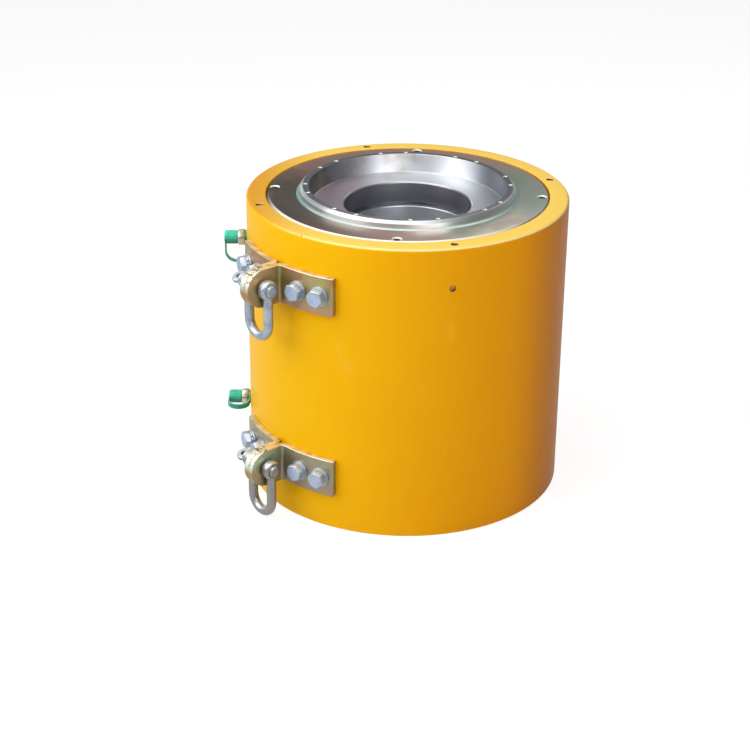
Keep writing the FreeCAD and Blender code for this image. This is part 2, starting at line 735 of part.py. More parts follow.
def plate_blank(level):
    """The right-hand plate of a bracket, without its bolt holes."""
    body = new_body(level + "_plate_blank")
    sketch = new_sketch(body, "XY_Plane")
    bind(sketch, **{"AttachmentOffset.Base.z": level + "_bracket"})
    draw_plate(sketch)
    DOC.recompute()
    pad = body.newObject("PartDesign::Pad", "Pad")
    pad.Profile = sketch
    pad.Midplane = True
    bind(pad, Length="plate_height")
    body.Tip = pad
    DOC.recompute()
    far = number("pin_distance + plate_height / 2")
    near = number("plate_thickness") * 1.5
    full_round = "plate_height / 2 - 0.2 * plate_height / 60"

    def tab_corner(edge):
        middle = edge.CenterOfMass
        flat = abs(edge.BoundBox.YLength) < 0.01 and abs(edge.BoundBox.ZLength) < 0.01
        return flat and abs(middle.y + far) < 0.01 and edge.Length < near

    dress(body, "Fillet", tab_corner, Radius=full_round)
    return body


def plate_holes(level):
    height = number(level + "_bracket")
    tools = []
    for name in ("first_bolt_angle", "second_bolt_angle"):
        place = radial(number(name), number("body_radius - plate_thickness"), height)
        tools.append(cylinder("bolt_radius + bolt_hole_gap", "3 * plate_thickness", place))
    along_x = FreeCAD.Placement(vector(-number("plate_thickness"), -number("pin_distance"), height), turn(Y_AXIS, 90))
    tools.append(cylinder("pin_radius + tab_hole_gap", "3 * plate_thickness", along_x))
    return combine("Compound", tools)


def make_bracket_plates(level):
    right = labelled(cut(plate_blank(level), plate_holes(level)), level + "_bracket_right_plate")
    left = DOC.addObject("Part::Mirroring", "Mirroring")
    left.Source = right
    left.Normal = X_AXIS
    left.Base = vector()
    DOC.recompute()
    return [right, labelled(left, level + "_bracket_left_plate")]


def hexagon(flats, length, chamfered_to, place):
    """A hexagonal head whose outer end is chamfered to a circle at 30 degrees."""
    prism = bind(DOC.addObject("Part::Prism", "Prism"), Height=length)
    prism.Polygon = 6
    prism.setExpression("Circumradius", link("%s / 2 / cos(30 deg)" % flats))
    cone = bind(DOC.addObject("Part::Cone", "Cone"), Height=length, Radius2=chamfered_to)
    cone.setExpression("Radius1", link("%s + %s / tan(30 deg)" % (chamfered_to, length)))
    prism.Placement = place
    cone.Placement = place
    return combine("MultiCommon", [prism, cone])


def make_bracket_bolts(level):
    height = number(level + "_bracket")
    under_head = number("plate_outside + washer_thickness + spring_washer_thickness")
    bolts = []
    for azimuth, index in bolt_places():
        length = "plate_thickness + washer_thickness + spring_washer_thickness + bolt_depth - free_gap"
        shank_start = number("body_radius - bolt_depth + free_gap")
        shank = cylinder("bolt_radius", length + " + bolt_head_height / 2", radial(azimuth, shank_start, height))
        head = hexagon("bolt_flats", "bolt_head_height", "bolt_flats * 0.475",
                       radial(azimuth, under_head, height, BOLT_TURNS[index]))
        bolts.append(combine("MultiFuse", [shank, head]))
    return labelled(combine("Compound", bolts), level + "_bracket_bolts")


def make_washers(level):
    height = number(level + "_bracket")
    washers = []
    for azimuth, _ in bolt_places():
        place = radial(azimuth, number("plate_outside"), height)
        disc = cylinder("washer_radius", "washer_thickness", place)
        washers.append(cut(disc, cylinder("bolt_radius + bolt_hole_gap", "washer_thickness", place)))
    return labelled(combine("Compound", washers), level + "_bracket_flat_washers")


def make_spring_washers(level):
    height = number(level + "_bracket")
    washers = []
    for azimuth, index in bolt_places():
        place = radial(azimuth, number("plate_outside + washer_thickness"), height, SLIT_TURNS[index])
        disc = cylinder("spring_washer_radius", "spring_washer_thickness", place)
        hole = cylinder("bolt_radius + bolt_hole_gap", "spring_washer_thickness", place)
        slit = bind(DOC.addObject("Part::Box", "Slit"), Length="2 * spring_washer_radius",
                    Width="spring_washer_slit", Height="spring_washer_thickness")
        slit.Placement = place * FreeCAD.Placement(vector(0, -number("spring_washer_slit") / 2, 0), FreeCAD.Rotation())
        washers.append(cut(cut(disc, hole), slit))
    return labelled(combine("Compound", washers), level + "_bracket_spring_washers")


# Shackles

def shackle_place(level, x):
    """Placement with +Z along +X, at a distance x along the pin from the middle of the shackle."""
    base = vector(x - number("shackle_shift"), -number("pin_distance"), number(level + "_bracket"))
    return FreeCAD.Placement(base, turn(Y_AXIS, 90))


def shackle_eye(level, side):
    """One rounded eye of the shackle's bow, without its hole."""
    jaw = number("shackle_jaw / 2")
    width = number("2 * shackle_bar_radius")
    eye = cylinder("eye_radius", "2 * shackle_bar_radius", shackle_place(level, jaw if side > 0 else -jaw - width))
    DOC.recompute()
    rounding = number("eye_round")
    rounded = DOC.addObject("Part::Fillet", "Fillet")
    rounded.Base = eye
    rims = [index + 1 for index, edge in enumerate(eye.Shape.Edges) if isinstance(edge.Curve, Part.Circle)]
    rounded.Edges = [(index, rounding, rounding) for index in rims]
    DOC.recompute()
    return rounded


def make_shackle_bow(level):
    pin_y = -number("pin_distance")
    pin_z = number(level + "_bracket")
    middle = -number("shackle_shift")
    spread = "shackle_jaw / 2 + shackle_bar_radius"
    bend_z = pin_z - number("shackle_drop") + number(spread)
    pieces = [shackle_eye(level, side) for side in SIDES.values()]
    for side in SIDES.values():
        place = FreeCAD.Placement(vector(middle + side * number(spread), pin_y, bend_z), FreeCAD.Rotation())
        pieces.append(cylinder("shackle_bar_radius", "shackle_drop - (%s)" % spread, place))
    bend = bind(DOC.addObject("Part::Torus", "Torus"), Radius1=spread, Radius2="shackle_bar_radius")
    bend.Angle3 = 180
    bend.Placement = FreeCAD.Placement(vector(middle, pin_y, bend_z), turn(X_AXIS, -90))
    pieces.append(bend)
    reach = number("shackle_jaw + 2 * shackle_bar_radius")
    bore = cylinder("pin_radius + fit_gap", "2 * shackle_jaw + 4 * shackle_bar_radius", shackle_place(level, -reach))
    return labelled(cut(combine("MultiFuse", pieces), bore), level + "_shackle_bow")


def make_shackle_pin(level):
    outside = number("shackle_jaw / 2 + 2 * shackle_bar_radius")
    collar_start = -outside - number("free_gap + pin_collar_length")
    straight = "shackle_jaw + 4 * shackle_bar_radius + pin_end_stand - pin_end_chamfer + free_gap + pin_collar_length"
    shaft = cylinder("pin_radius", straight, shackle_place(level, collar_start))
    collar = cylinder("pin_collar_radius", "pin_collar_length", shackle_place(level, collar_start))
    end = bind(DOC.addObject("Part::Cone", "Cone"), Radius1="pin_radius", Radius2="pin_radius - pin_end_chamfer",
               Height="pin_end_chamfer")
    end.Placement = shackle_place(level, collar_start + number(straight))
    ear_x = collar_start - number("shackle_shift + 0.88 * pin_ear_radius")
    pin_line = vector(ear_x, -number("pin_distance"), number(level + "_bracket"))
    tilt = turn(X_AXIS, number("pin_ear_turn"))
    below = tilt.multVec(vector(0, 0, -number("pin_ear_thickness / 2")))
    ear_place = FreeCAD.Placement(pin_line.add(below), tilt)
    ear = cylinder("pin_ear_radius", "pin_ear_thickness", ear_place)
    hole = cylinder("pin_ear_hole_radius", "pin_ear_thickness", ear_place)
    solid = combine("MultiFuse", [shaft, collar, end, ear])
    return labelled(cut(solid, hole), level + "_shackle_pin")


# Oil ports

def port_place(level, out, spin=0):
    """Placement on a port's axis, at a distance out from the barrel's surface."""
    return radial(number("port_azimuth"), number("body_radius") + out, number(level + "_port"), spin)


def make_port_seals():
    rings = []
    for level in LEVELS:
        place = port_place(level, -number("port_depth"))
        disc = cylinder("port_radius", "port_seal_thickness", place)
        rings.append(cut(disc, cylinder("oil_way_radius", "port_seal_thickness", place)))
    return labelled(combine("Compound", rings), "port_sealing_rings")


def make_adaptor(level):
    start = -number("port_depth - port_seal_thickness")
    neck = number("adaptor_neck")
    hex_end = neck + number("adaptor_hex_length")
    stub = cylinder("port_radius", "port_depth - port_seal_thickness + adaptor_neck + adaptor_hex_length / 2",
                    port_place(level, start))
    head = hexagon("adaptor_flats", "adaptor_hex_length", "adaptor_flats * 0.49",
                   port_place(level, neck, ADAPTOR_TURN))
    nipple = cylinder("cap_radius - cap_wall - fit_gap", "cap_gap + cap_length - 2 * cap_wall",
                      port_place(level, hex_end))
    solid = combine("MultiFuse", [stub, head, nipple])
    bore = cylinder("oil_way_radius", "2 * port_depth + 2 * adaptor_hex_length + cap_length", port_place(level, start))
    return labelled(cut(solid, bore), level + "_oil_adaptor")


def strap_blank(level):
    """The flat strap: a U in a plane through the port's axis, padded to its width."""
    body = new_body(level + "_strap")
    sketch = new_sketch(body, "XZ_Plane")
    cap_end = "(adaptor_neck + adaptor_hex_length + cap_gap + cap_length)"
    left = "(adaptor_neck - free_gap - neck_ring_thickness)"
    mean = "((%s - %s) / 2)" % (cap_end, left)
    middle = "(%s + %s)" % (left, mean)
    bend = "-(strap_reach - %s)" % mean
    outer = number(mean)
    inner = number(mean + " - strap_thickness")
    centre = vector(number(middle), number(bend))
    root = "-port_radius - neck_ring_wall / 2"
    root_y = number(root)
    x_values = [number(left), number(cap_end + " - strap_thickness"), number(left + " + strap_thickness"),
                number(cap_end)]
    bottom = Part.ArcOfCircle(Part.Circle(centre, Z_AXIS, outer), math.pi, 2 * math.pi)
    inside = Part.ArcOfCircle(Part.Circle(centre, Z_AXIS, inner), math.pi, 2 * math.pi)
    top_y = root_y
    low_y = number(bend)
    curves = [
        Part.LineSegment(vector(x_values[0], top_y), vector(x_values[0], low_y)),
        bottom,
        Part.LineSegment(vector(x_values[3], low_y), vector(x_values[3], top_y)),
        Part.LineSegment(vector(x_values[3], top_y), vector(x_values[1], top_y)),
        Part.LineSegment(vector(x_values[1], top_y), vector(x_values[1], low_y)),
        inside,
        Part.LineSegment(vector(x_values[2], low_y), vector(x_values[2], top_y)),
        Part.LineSegment(vector(x_values[2], top_y), vector(x_values[0], top_y)),
    ]
    inner_leg, outer_arc, outer_leg, outer_stop, outer_back, inner_arc, inner_back, inner_stop = (
        sketch.addGeometry(curve, False) for curve in curves)
    constrain(sketch, "Tangent", inner_leg, 2, outer_arc, 1)
    constrain(sketch, "Tangent", outer_arc, 2, outer_leg, 1)
    constrain(sketch, "Coincident", outer_leg, 2, outer_stop, 1)
    constrain(sketch, "Coincident", outer_stop, 2, outer_back, 1)
    constrain(sketch, "Tangent", outer_back, 2, inner_arc, 2)
    constrain(sketch, "Tangent", inner_arc, 1, inner_back, 1)
    constrain(sketch, "Coincident", inner_back, 2, inner_stop, 1)
    constrain(sketch, "Coincident", inner_stop, 2, inner_leg, 1)
    constrain(sketch, "Coincident", inner_arc, 3, outer_arc, 3)
    constrain(sketch, "Vertical", inner_leg)
    constrain(sketch, "Vertical", outer_leg)
    constrain(sketch, "Horizontal", outer_stop)
    constrain(sketch, "Horizontal", inner_stop)
    constrain(sketch, "Radius", outer_arc, formula=mean)
    constrain(sketch, "Radius", inner_arc, formula=mean + " - strap_thickness")
    hold_point(sketch, outer_arc, 3, middle, bend)
    constrain(sketch, "DistanceY", inner_leg, 1, -1, 1, formula="-(%s)" % root)
    constrain(sketch, "DistanceY", outer_leg, 2, -1, 1, formula="-(%s)" % root)
    DOC.recompute()
    pad = body.newObject("PartDesign::Pad", "Pad")
    pad.Profile = sketch
    pad.Midplane = True
    bind(pad, Length="strap_width")
    body.Tip = pad
    # The sketch's x runs outwards along the port, and its y runs up.
    across = FreeCAD.Placement(vector(), turn(Y_AXIS, -90) * turn(X_AXIS, -90))
    body.Placement = port_place(level, 0, number(level + "_strap_turn")) * across
    DOC.recompute()
    return body


def make_dust_cap(level):
    """A dust cap with its strap and neck ring, one moulding."""
    start = number("adaptor_neck + adaptor_hex_length + cap_gap")
    straight = number("cap_length - cap_end_chamfer")
    barrel = cylinder("cap_radius", "cap_length - cap_end_chamfer", port_place(level, start))
    end = bind(DOC.addObject("Part::Cone", "Cone"), Radius1="cap_radius", Radius2="cap_radius - cap_end_chamfer",
               Height="cap_end_chamfer")
    end.Placement = port_place(level, start + straight)
    hollow = cylinder("cap_radius - cap_wall", "cap_length - cap_wall", port_place(level, start))
    ring_start = number("adaptor_neck - free_gap - neck_ring_thickness")
    ring_place = port_place(level, ring_start)
    neck_ring = cylinder("port_radius + free_gap + neck_ring_wall", "neck_ring_thickness", ring_place)
    neck_hole = cylinder("port_radius + free_gap", "neck_ring_thickness", ring_place)
    solid = combine("MultiFuse", [barrel, end, neck_ring, strap_blank(level)])
    return labelled(cut(solid, combine("Compound", [hollow, neck_hole])), level + "_dust_cap")


def make_everything():
    parts = [
        make_barrel(),
        make_centre_tube(),
        make_tube_seal(),
        make_gland(),
        make_gland_seal(),
        make_rod_guide(),
        make_rod_seal(),
        make_wiper(),
        make_lock_screw(),
        make_piston(),
        make_piston_guides(),
        make_piston_seal(),
        make_bore_seal(),
        make_bore_guide(),
        make_port_seals(),
    ]
    for level in LEVELS:
        parts += make_bracket_plates(level)
        parts += [
            make_bracket_bolts(level),
            make_spring_washers(level),
            make_washers(level),
            make_shackle_bow(level),
            make_shackle_pin(level),
            make_adaptor(level),
            make_dust_cap(level),
        ]
    return parts


def check_document():
    DOC.recompute()
    for thing in DOC.Objects:
        for fault in ("Invalid", "Error"):
            if fault in thing.State:
                raise RuntimeError("%s (%s) is %s" % (thing.Label, thing.Name, thing.State))


def export(parts):
    os.makedirs("parts", exist_ok=True)
    for part in parts:
        if part.Shape.isNull() or not part.Shape.isValid():
            raise RuntimeError(part.Label + " has no valid shape")
        part.Shape.exportStep("parts/%s.step" % part.Label)
        box = part.Shape.BoundBox
        print("%-32s solids %2d  volume %12.1f  x %7.1f %7.1f  y %7.1f %7.1f  z %6.1f %6.1f" % (
            part.Label, len(part.Shape.Solids), part.Shape.Volume, box.XMin, box.XMax, box.YMin, box.YMax,
            box.ZMin, box.ZMax))


fill_sheet()
PARTS = make_everything()
check_document()
export(PARTS)
print(len(PARTS), "sub-parts")
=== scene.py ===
# %% [markdown]
# # A centre-hole tensioning jack
# This is a hollow hydraulic jack: a painted steel barrel, a plated gland ring screwed into its top, a
# piston with a hole through it, two lifting brackets with shackles, and two oil ports under green dust
# caps. The CAD model is loaded first and never moves. Every piece below is made round it, at its real size.
# The solids could be shaded as they come. Most of them are made again here instead, so that edges are
# rounded, threads and ribs exist, and round things are truly round.

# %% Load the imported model
import json
import math

import bmesh
import bpy
from mathutils import Matrix, Vector


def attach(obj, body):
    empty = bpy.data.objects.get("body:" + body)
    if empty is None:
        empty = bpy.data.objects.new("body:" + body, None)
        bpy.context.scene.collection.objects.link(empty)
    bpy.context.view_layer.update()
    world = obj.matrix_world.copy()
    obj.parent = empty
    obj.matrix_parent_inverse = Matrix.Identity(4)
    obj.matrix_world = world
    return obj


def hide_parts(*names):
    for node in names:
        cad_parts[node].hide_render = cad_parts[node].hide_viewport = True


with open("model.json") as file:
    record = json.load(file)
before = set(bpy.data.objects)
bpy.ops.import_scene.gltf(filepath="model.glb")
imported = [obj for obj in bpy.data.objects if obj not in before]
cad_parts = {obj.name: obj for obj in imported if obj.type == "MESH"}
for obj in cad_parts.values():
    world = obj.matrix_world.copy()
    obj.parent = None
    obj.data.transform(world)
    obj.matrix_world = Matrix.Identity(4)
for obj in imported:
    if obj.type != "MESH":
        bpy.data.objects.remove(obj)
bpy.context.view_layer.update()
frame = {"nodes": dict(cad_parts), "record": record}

MM = 0.001
LEVELS = ("upper", "lower")
CAD_NODES = frame["nodes"]

# %% [markdown]
# ## Camera
# The camera stands where the photographer stood. Four circles of known size on the jack's top give its
# place, and the brackets give the turn round the jack. It could be shifted, as an architect's lens is, but
# a plain camera aimed downwards also serves every other view.

# %% Camera
PICTURE_SIDE = 750
FOCAL_PIXELS = 1798.94
SENSOR_WIDTH = 36.0
CAMERA_PLACE = Vector((1.9663, -1.7729, 1.3908))
CAMERA_AZIMUTH = 49.0
CAMERA_PITCH = 25.003
CAMERA_ROLL = 0.5255


def turned(degrees, axis):
    return Matrix.Rotation(math.radians(degrees), 4, axis)


def linked(name, data):
    """An object made from data and put into the scene."""
    item = bpy.data.objects.new(name, data)
    bpy.context.scene.collection.objects.link(item)
    return item


def add_camera():
    lens = bpy.data.cameras.new("camera")
    lens.sensor_width = SENSOR_WIDTH
    lens.lens = SENSOR_WIDTH * FOCAL_PIXELS / PICTURE_SIDE
    camera = linked("camera", lens)
    aim = turned(CAMERA_AZIMUTH, "Z") @ turned(90 - CAMERA_PITCH, "X") @ turned(CAMERA_ROLL, "Z")
    camera.matrix_world = Matrix.Translation(CAMERA_PLACE) @ aim
    bpy.context.scene.camera = camera
    print("lens", round(lens.lens, 2), "mm")


add_camera()

# %% [markdown]
# ## Writing node trees as sums
# A node tree can be drawn by hand in the editor. In a script it reads better as arithmetic, so a small
# class wraps a socket: adding or multiplying two of them adds the Math node that does it. One method makes
# every other node.

# %% Sockets that can be added and multiplied
def arithmetic(operation):
    """The two methods that let a Link stand on either side of an operator."""

    def first(self, other):
        return self.graph.math(operation, self, other)

    def second(self, other):
        return self.graph.math(operation, other, self)

    return first, second


class Link:
    """An output socket that can stand in a Python expression."""

    def __init__(self, graph, socket):
        self.graph = graph
        self.socket = socket

    __add__, __radd__ = arithmetic("ADD")
    __sub__, __rsub__ = arithmetic("SUBTRACT")
    __mul__, __rmul__ = arithmetic("MULTIPLY")
    __truediv__, __rtruediv__ = arithmetic("DIVIDE")
    __pow__ = arithmetic("POWER")[0]


# %% A node tree under construction
class Graph:
    """A node tree that is filled by calls."""

    def __init__(self, tree):
        self.tree = tree
        tree.nodes.clear()

    def find(self, sockets, key):
        if isinstance(key, int):
            return sockets[key]
        matching = [socket for socket in sockets if key in (socket.identifier, socket.name)]
        return next((socket for socket in matching if socket.enabled), matching[0])

    def node(self, kind, settings=None, inputs=None, output=0):
        node = self.tree.nodes.new(kind)
        for name, value in (settings or {}).items():
            if name == "stops":
                self.set_stops(node.color_ramp, value)
            else:
                setattr(node, name, value)
        for key, value in (inputs or {}).items():
            socket = self.find(node.inputs, key)
            if isinstance(value, Link):
                self.tree.links.new(value.socket, socket)
            elif value is not None:
                socket.default_value = value
        return Link(self, self.find(node.outputs, output)) if node.outputs else None

    def set_stops(self, ramp, stops):
        while len(ramp.elements) < len(stops):
            ramp.elements.new(1.0)
        for element, (place, colour) in zip(ramp.elements, stops):
            element.position = place
            element.color = (*colour, 1.0)

    def math(self, operation, *values):
        return self.node("ShaderNodeMath", {"operation": operation}, dict(enumerate(values)))

    def step(self, value, start, end):
        """0 up to the start, 1 from the end on, smooth between. The start may be the larger of the two."""
        return self.node("ShaderNodeMapRange", {"interpolation_type": "SMOOTHSTEP"},
                         {"Value": value, "From Min": start, "From Max": end}, "Result")

    def blend(self, factor, one, two):
        return self.node("ShaderNodeMixShader", {}, {0: factor, 1: one, 2: two})

    def is_ray(self, kind):
        return self.node("ShaderNodeLightPath", output="Is %s Ray" % kind)


# %% [markdown]
# ## The words that finishes are made of
# Each finish below is a few sentences: where on the piece we are, some noise, a mix of two colours, a bump.
# These helpers are those words. Every pattern reads Object coordinates, which are the jack's own, so a
# pattern has its real size and stays put when a piece moves. Places are in millimetres; scales of noise are
# per metre.

# %% Finish helpers
def srgb(red, green, blue):
    """A display colour, 0 to 255, as the linear colour that a shader takes."""
    levels = []
    for value in (red / 255, green / 255, blue / 255):
        levels.append(value / 12.92 if value <= 0.04045 else ((value + 0.055) / 1.055) ** 2.4)
    return tuple(levels)


def opaque(colour):
    return (*colour, 1.0) if isinstance(colour, tuple) and len(colour) == 3 else colour


class Finish(Graph):
    """A material under construction."""

    def __init__(self, name):
        self.material = bpy.data.materials.new(name)
        self.material.use_nodes = True
        super().__init__(self.material.node_tree)
        self.point = self.node("ShaderNodeTexCoord", output="Object")

    def along(self, axis):
        return self.node("ShaderNodeSeparateXYZ", {}, {0: self.point}, axis) / MM

    def radius(self):
        """How far a point lies from the jack's axis."""
        x = self.along("X")
        y = self.along("Y")
        return (x * x + y * y) ** 0.5

    def towards(self, azimuth):
        """How far a point lies from the jack's axis towards an azimuth."""
        angle = math.radians(azimuth)
        return self.along("X") * math.sin(angle) - self.along("Y") * math.cos(angle)

    def facing(self, axis):
        """How squarely the surface faces along an axis, from -1 to 1."""
        normal = self.node("ShaderNodeNewGeometry", output="Normal")
        return self.node("ShaderNodeSeparateXYZ", {}, {0: normal}, axis)

    def mapped(self, **change):
        return self.node("ShaderNodeMapping", {}, {"Vector": self.point, **change})

    def noise(self, scale, detail=2.0, roughness=0.5, point=None, distortion=0.0):
        inputs = {"Vector": point or self.point, "Scale": scale, "Detail": detail, "Roughness": roughness,
                  "Distortion": distortion}
        return self.node("ShaderNodeTexNoise", {}, inputs, "Fac")

    def patches(self, start, end, *settings, **more):
        """Noise with its contrast raised, so that it reads as patches."""
        return self.step(self.noise(*settings, **more), start, end)

    def mix(self, factor, one, two):
        inputs = {"Factor_Float": factor, "A_Color": opaque(one), "B_Color": opaque(two)}
        return self.node("ShaderNodeMix", {"data_type": "RGBA"}, inputs, "Result_Color")

    def bump(self, height, distance, strength=1.0, over=None):
        inputs = {"Height": height, "Distance": distance, "Strength": strength, "Normal": over}
        return self.node("ShaderNodeBump", {}, inputs, "Normal")

    def surface(self, colour, roughness, metallic=0.0, normal=None, **constants):
        inputs = {"Base Color": opaque(colour), "Roughness": roughness, "Metallic": metallic,
                  "Normal": normal}
        for name, value in constants.items():
            inputs[name.replace("_", " ").title().replace("Ior", "IOR")] = value
        shader = self.node("ShaderNodeBsdfPrincipled", {}, inputs, "BSDF")
        self.node("ShaderNodeOutputMaterial", {}, {"Surface": shader})
        return self.material


print("helpers ready")

# %% [markdown]
# ## Studio
# A sheet of white paper runs under and behind the jack. To the camera, and to anything shiny, it looks
# white by itself, with a share left to real light so that the jack's shadow stays. The lamps are large and
# soft, as in a product studio: a strong one on the left, one in front, one overhead and a weak one behind
# on the right.

# %% Floor
FLOOR_SIDE = 30.0
FLOOR_DEPTH = 0.0006
PAPER = 0.80
GLOW_SHARE = 0.80
LIT_SHARE = 0.34
MIRRORED_SHARE = 0.42


def seen_directly(graph):
    """1 for rays from the camera or through glass, and a share for rays that a shiny surface sends on."""
    straight = graph.math("MAXIMUM", graph.is_ray("Camera"), graph.is_ray("Transmission"))
    return graph.math("MAXIMUM", straight, graph.is_ray("Glossy") * MIRRORED_SHARE)


def add_floor():
    mesh = bpy.data.meshes.new("floor")
    half = FLOOR_SIDE / 2
    corners = [(x * half, y * half, -FLOOR_DEPTH) for x, y in ((-1, -1), (1, -1), (1, 1), (-1, 1))]
    mesh.from_pydata(corners, [], [range(4)])
    floor = linked("floor", mesh)
    paper = Finish("studio_paper")
    plain, lit = [paper.node("ShaderNodeBsdfDiffuse", {}, {"Color": (level, level, level, 1)})
                  for level in (PAPER, LIT_SHARE)]
    glow = paper.node("ShaderNodeEmission", {}, {"Strength": GLOW_SHARE})
    white = paper.node("ShaderNodeAddShader", {}, {0: lit, 1: glow})
    shader = paper.blend(seen_directly(paper), plain, white)
    paper.node("ShaderNodeOutputMaterial", {}, {"Surface": shader})
    mesh.materials.append(paper.material)


# %% World
EVEN_LEFT = 0.46
EVEN_RIGHT = 0.12
ROOM_LEFT = 0.95
ROOM_RIGHT = 0.30
WHITE = (1.0, 1.0, 1.0)
ROOM = [(0.0, WHITE), (0.10, (0.80, 0.80, 0.80)), (0.30, (0.48, 0.48, 0.49)), (0.55, (0.58, 0.58, 0.59)),
        (1.0, WHITE)]


def add_world():
    """Soft light that falls off to the right, and a room with a darker band for shiny things to mirror."""
    world = bpy.data.worlds.new("studio")
    world.use_nodes = True
    bpy.context.scene.world = world
    graph = Graph(world.node_tree)
    direction = graph.node("ShaderNodeTexCoord", output="Generated")
    height = graph.node("ShaderNodeSeparateXYZ", {}, {0: direction}, "Z")
    right = turned(CAMERA_AZIMUTH, "Z") @ Vector((1, 0, 0))
    side = graph.node("ShaderNodeVectorMath", {"operation": "DOT_PRODUCT"}, {0: direction, 1: right}, "Value")
    fall = graph.step(side, -0.7, 0.9)

    def light(colour, left, right):
        strength = left + (right - left) * fall
        return graph.node("ShaderNodeBackground", {}, {"Color": opaque(colour), "Strength": strength})

    room = graph.node("ShaderNodeValToRGB", {"stops": ROOM}, {"Fac": height}, "Color")
    shaded = graph.blend(graph.is_ray("Glossy"), light(WHITE, EVEN_LEFT, EVEN_RIGHT),
                         light(room, ROOM_LEFT, ROOM_RIGHT))
    shown = graph.blend(graph.is_ray("Camera"), shaded, light(WHITE, 1.0, 1.0))
    graph.node("ShaderNodeOutputWorld", {}, {"Surface": shown})


# %% Lamps
TARGET = Vector((0.0, 0.0, 0.25))
LAMPS = {
    # name: azimuth from the camera, elevation, distance, width, height, watts
    "left_softbox": (-72, 34, 2.6, 2.2, 2.2, 42),
    "front_softbox": (24, 30, 3.0, 1.6, 1.6, 30),
    "top_softbox": (-30, 76, 2.4, 2.0, 2.0, 16),
    "back_softbox": (150, 40, 2.8, 1.2, 1.6, 7),
}


def add_lamp(name, azimuth, elevation, distance, width, height, watts):
    light = bpy.data.lights.new(name, "AREA")
    light.shape = "RECTANGLE"
    light.size = width
    light.size_y = height
    light.energy = watts
    aim = turned(CAMERA_AZIMUTH + azimuth, "Z") @ turned(90 - elevation, "X")
    linked(name, light).matrix_world = Matrix.Translation(TARGET) @ aim @ Matrix.Translation((0, 0, distance))


add_floor()
add_world()
for name, settings in LAMPS.items():
    add_lamp(name, *settings)
bpy.context.scene.view_settings.view_transform = "Standard"
print("studio with", len(LAMPS), "lamps")

# %% [markdown]
# ## Paint
# The barrel is sprayed a warm yellow. Sprayed enamel is never quite level, a little uneven in colour, and
# chipped at the edges that get knocked. A flat colour with a gloss would read as plastic, so each of those
# is drawn: orange peel as a fine bump, chips, and a little dust low down. Light is painted in too: painted
# shade that deepens the yellow towards the right, a paler painted light on the top with painted shade on
# its left, and a painted highlight along the top edge.

# %% Yellow enamel
BODY_RADIUS = 250
BODY_HEIGHT = 470
AHEAD = CAMERA_AZIMUTH
RIGHT = CAMERA_AZIMUTH + 90
PAINT_HIGHLIGHT_AZIMUTH = 62
YELLOW = srgb(239, 182, 0)
YELLOW_WARM_SHADE = srgb(227, 145, 0)
YELLOW_SHADED = srgb(178, 100, 0)
SCUFFED_YELLOW = srgb(250, 196, 70)
LIT_TOP_YELLOW = srgb(253, 212, 96)
TOP_YELLOW_SHADED = srgb(218, 150, 14)
EDGE_HIGHLIGHT_YELLOW = srgb(255, 236, 168)
PRIMER = srgb(86, 62, 40)
ROAD_DUST = srgb(196, 152, 62)


def yellow_enamel():
    paint = Finish("yellow_enamel")
    right = paint.towards(RIGHT)
    up = paint.facing("Z")
    z = paint.along("Z")
    # Painted shade with warm reflected light: the yellow deepens towards the right, darkest at the far right.
    colour = paint.mix(paint.step(right + 100 * paint.noise(5.0, 3.0), -200, 320), YELLOW, YELLOW_WARM_SHADE)
    colour = paint.mix(paint.step(right, 150, 250) * 0.8, colour, YELLOW_SHADED)
    rubbed = paint.patches(0.62, 0.76, 30.0, 4.0, point=paint.mapped(Scale=(1, 1, 0.4))) * 0.22
    colour = paint.mix(rubbed, colour, SCUFFED_YELLOW)
    # Painted light: faces that point up are paler, with painted shade on the left of the top.
    top = paint.mix(paint.step(right, -270, -110), TOP_YELLOW_SHADED, LIT_TOP_YELLOW)
    colour = paint.mix(paint.step(up, 0.5, 0.95), colour, top)
    # A painted highlight along the rounded top edge, on the front.
    on_the_edge = paint.step(up, 0.25, 0.55) * paint.step(up, 0.97, 0.80)
    bright = on_the_edge * paint.step(paint.towards(PAINT_HIGHLIGHT_AZIMUTH), 60, 220)
    colour = paint.mix(bright * 0.75, colour, EDGE_HIGHLIGHT_YELLOW)
    dusty = paint.step(z, 40, 0) * paint.patches(0.45, 0.7, 40.0, 4.0) * 0.2
    colour = paint.mix(dusty, colour, ROAD_DUST)
    high = paint.step(z, BODY_HEIGHT - 10, BODY_HEIGHT - 6)
    chip = high * paint.step(paint.radius(), BODY_RADIUS - 5, BODY_RADIUS - 2)
    chip = chip * paint.patches(0.69, 0.71, 120.0, 3.0, 0.6)
    colour = paint.mix(chip, colour, PRIMER)
    peel = paint.bump(paint.noise(330.0, 1.0), 0.0002, 0.12)
    waves = paint.bump(paint.noise(28.0, 1.0), 0.0012, 0.10, over=peel)
    normal = paint.bump(1 - chip, 0.0002, 0.5, over=waves)
    rough = 0.30 + 0.12 * paint.noise(14.0, 4.0) + 0.25 * rubbed + 0.3 * dusty
    return paint.surface(colour, rough, normal=normal, coat_weight=0.03, coat_roughness=0.12,
                         specular_ior_level=0.06)
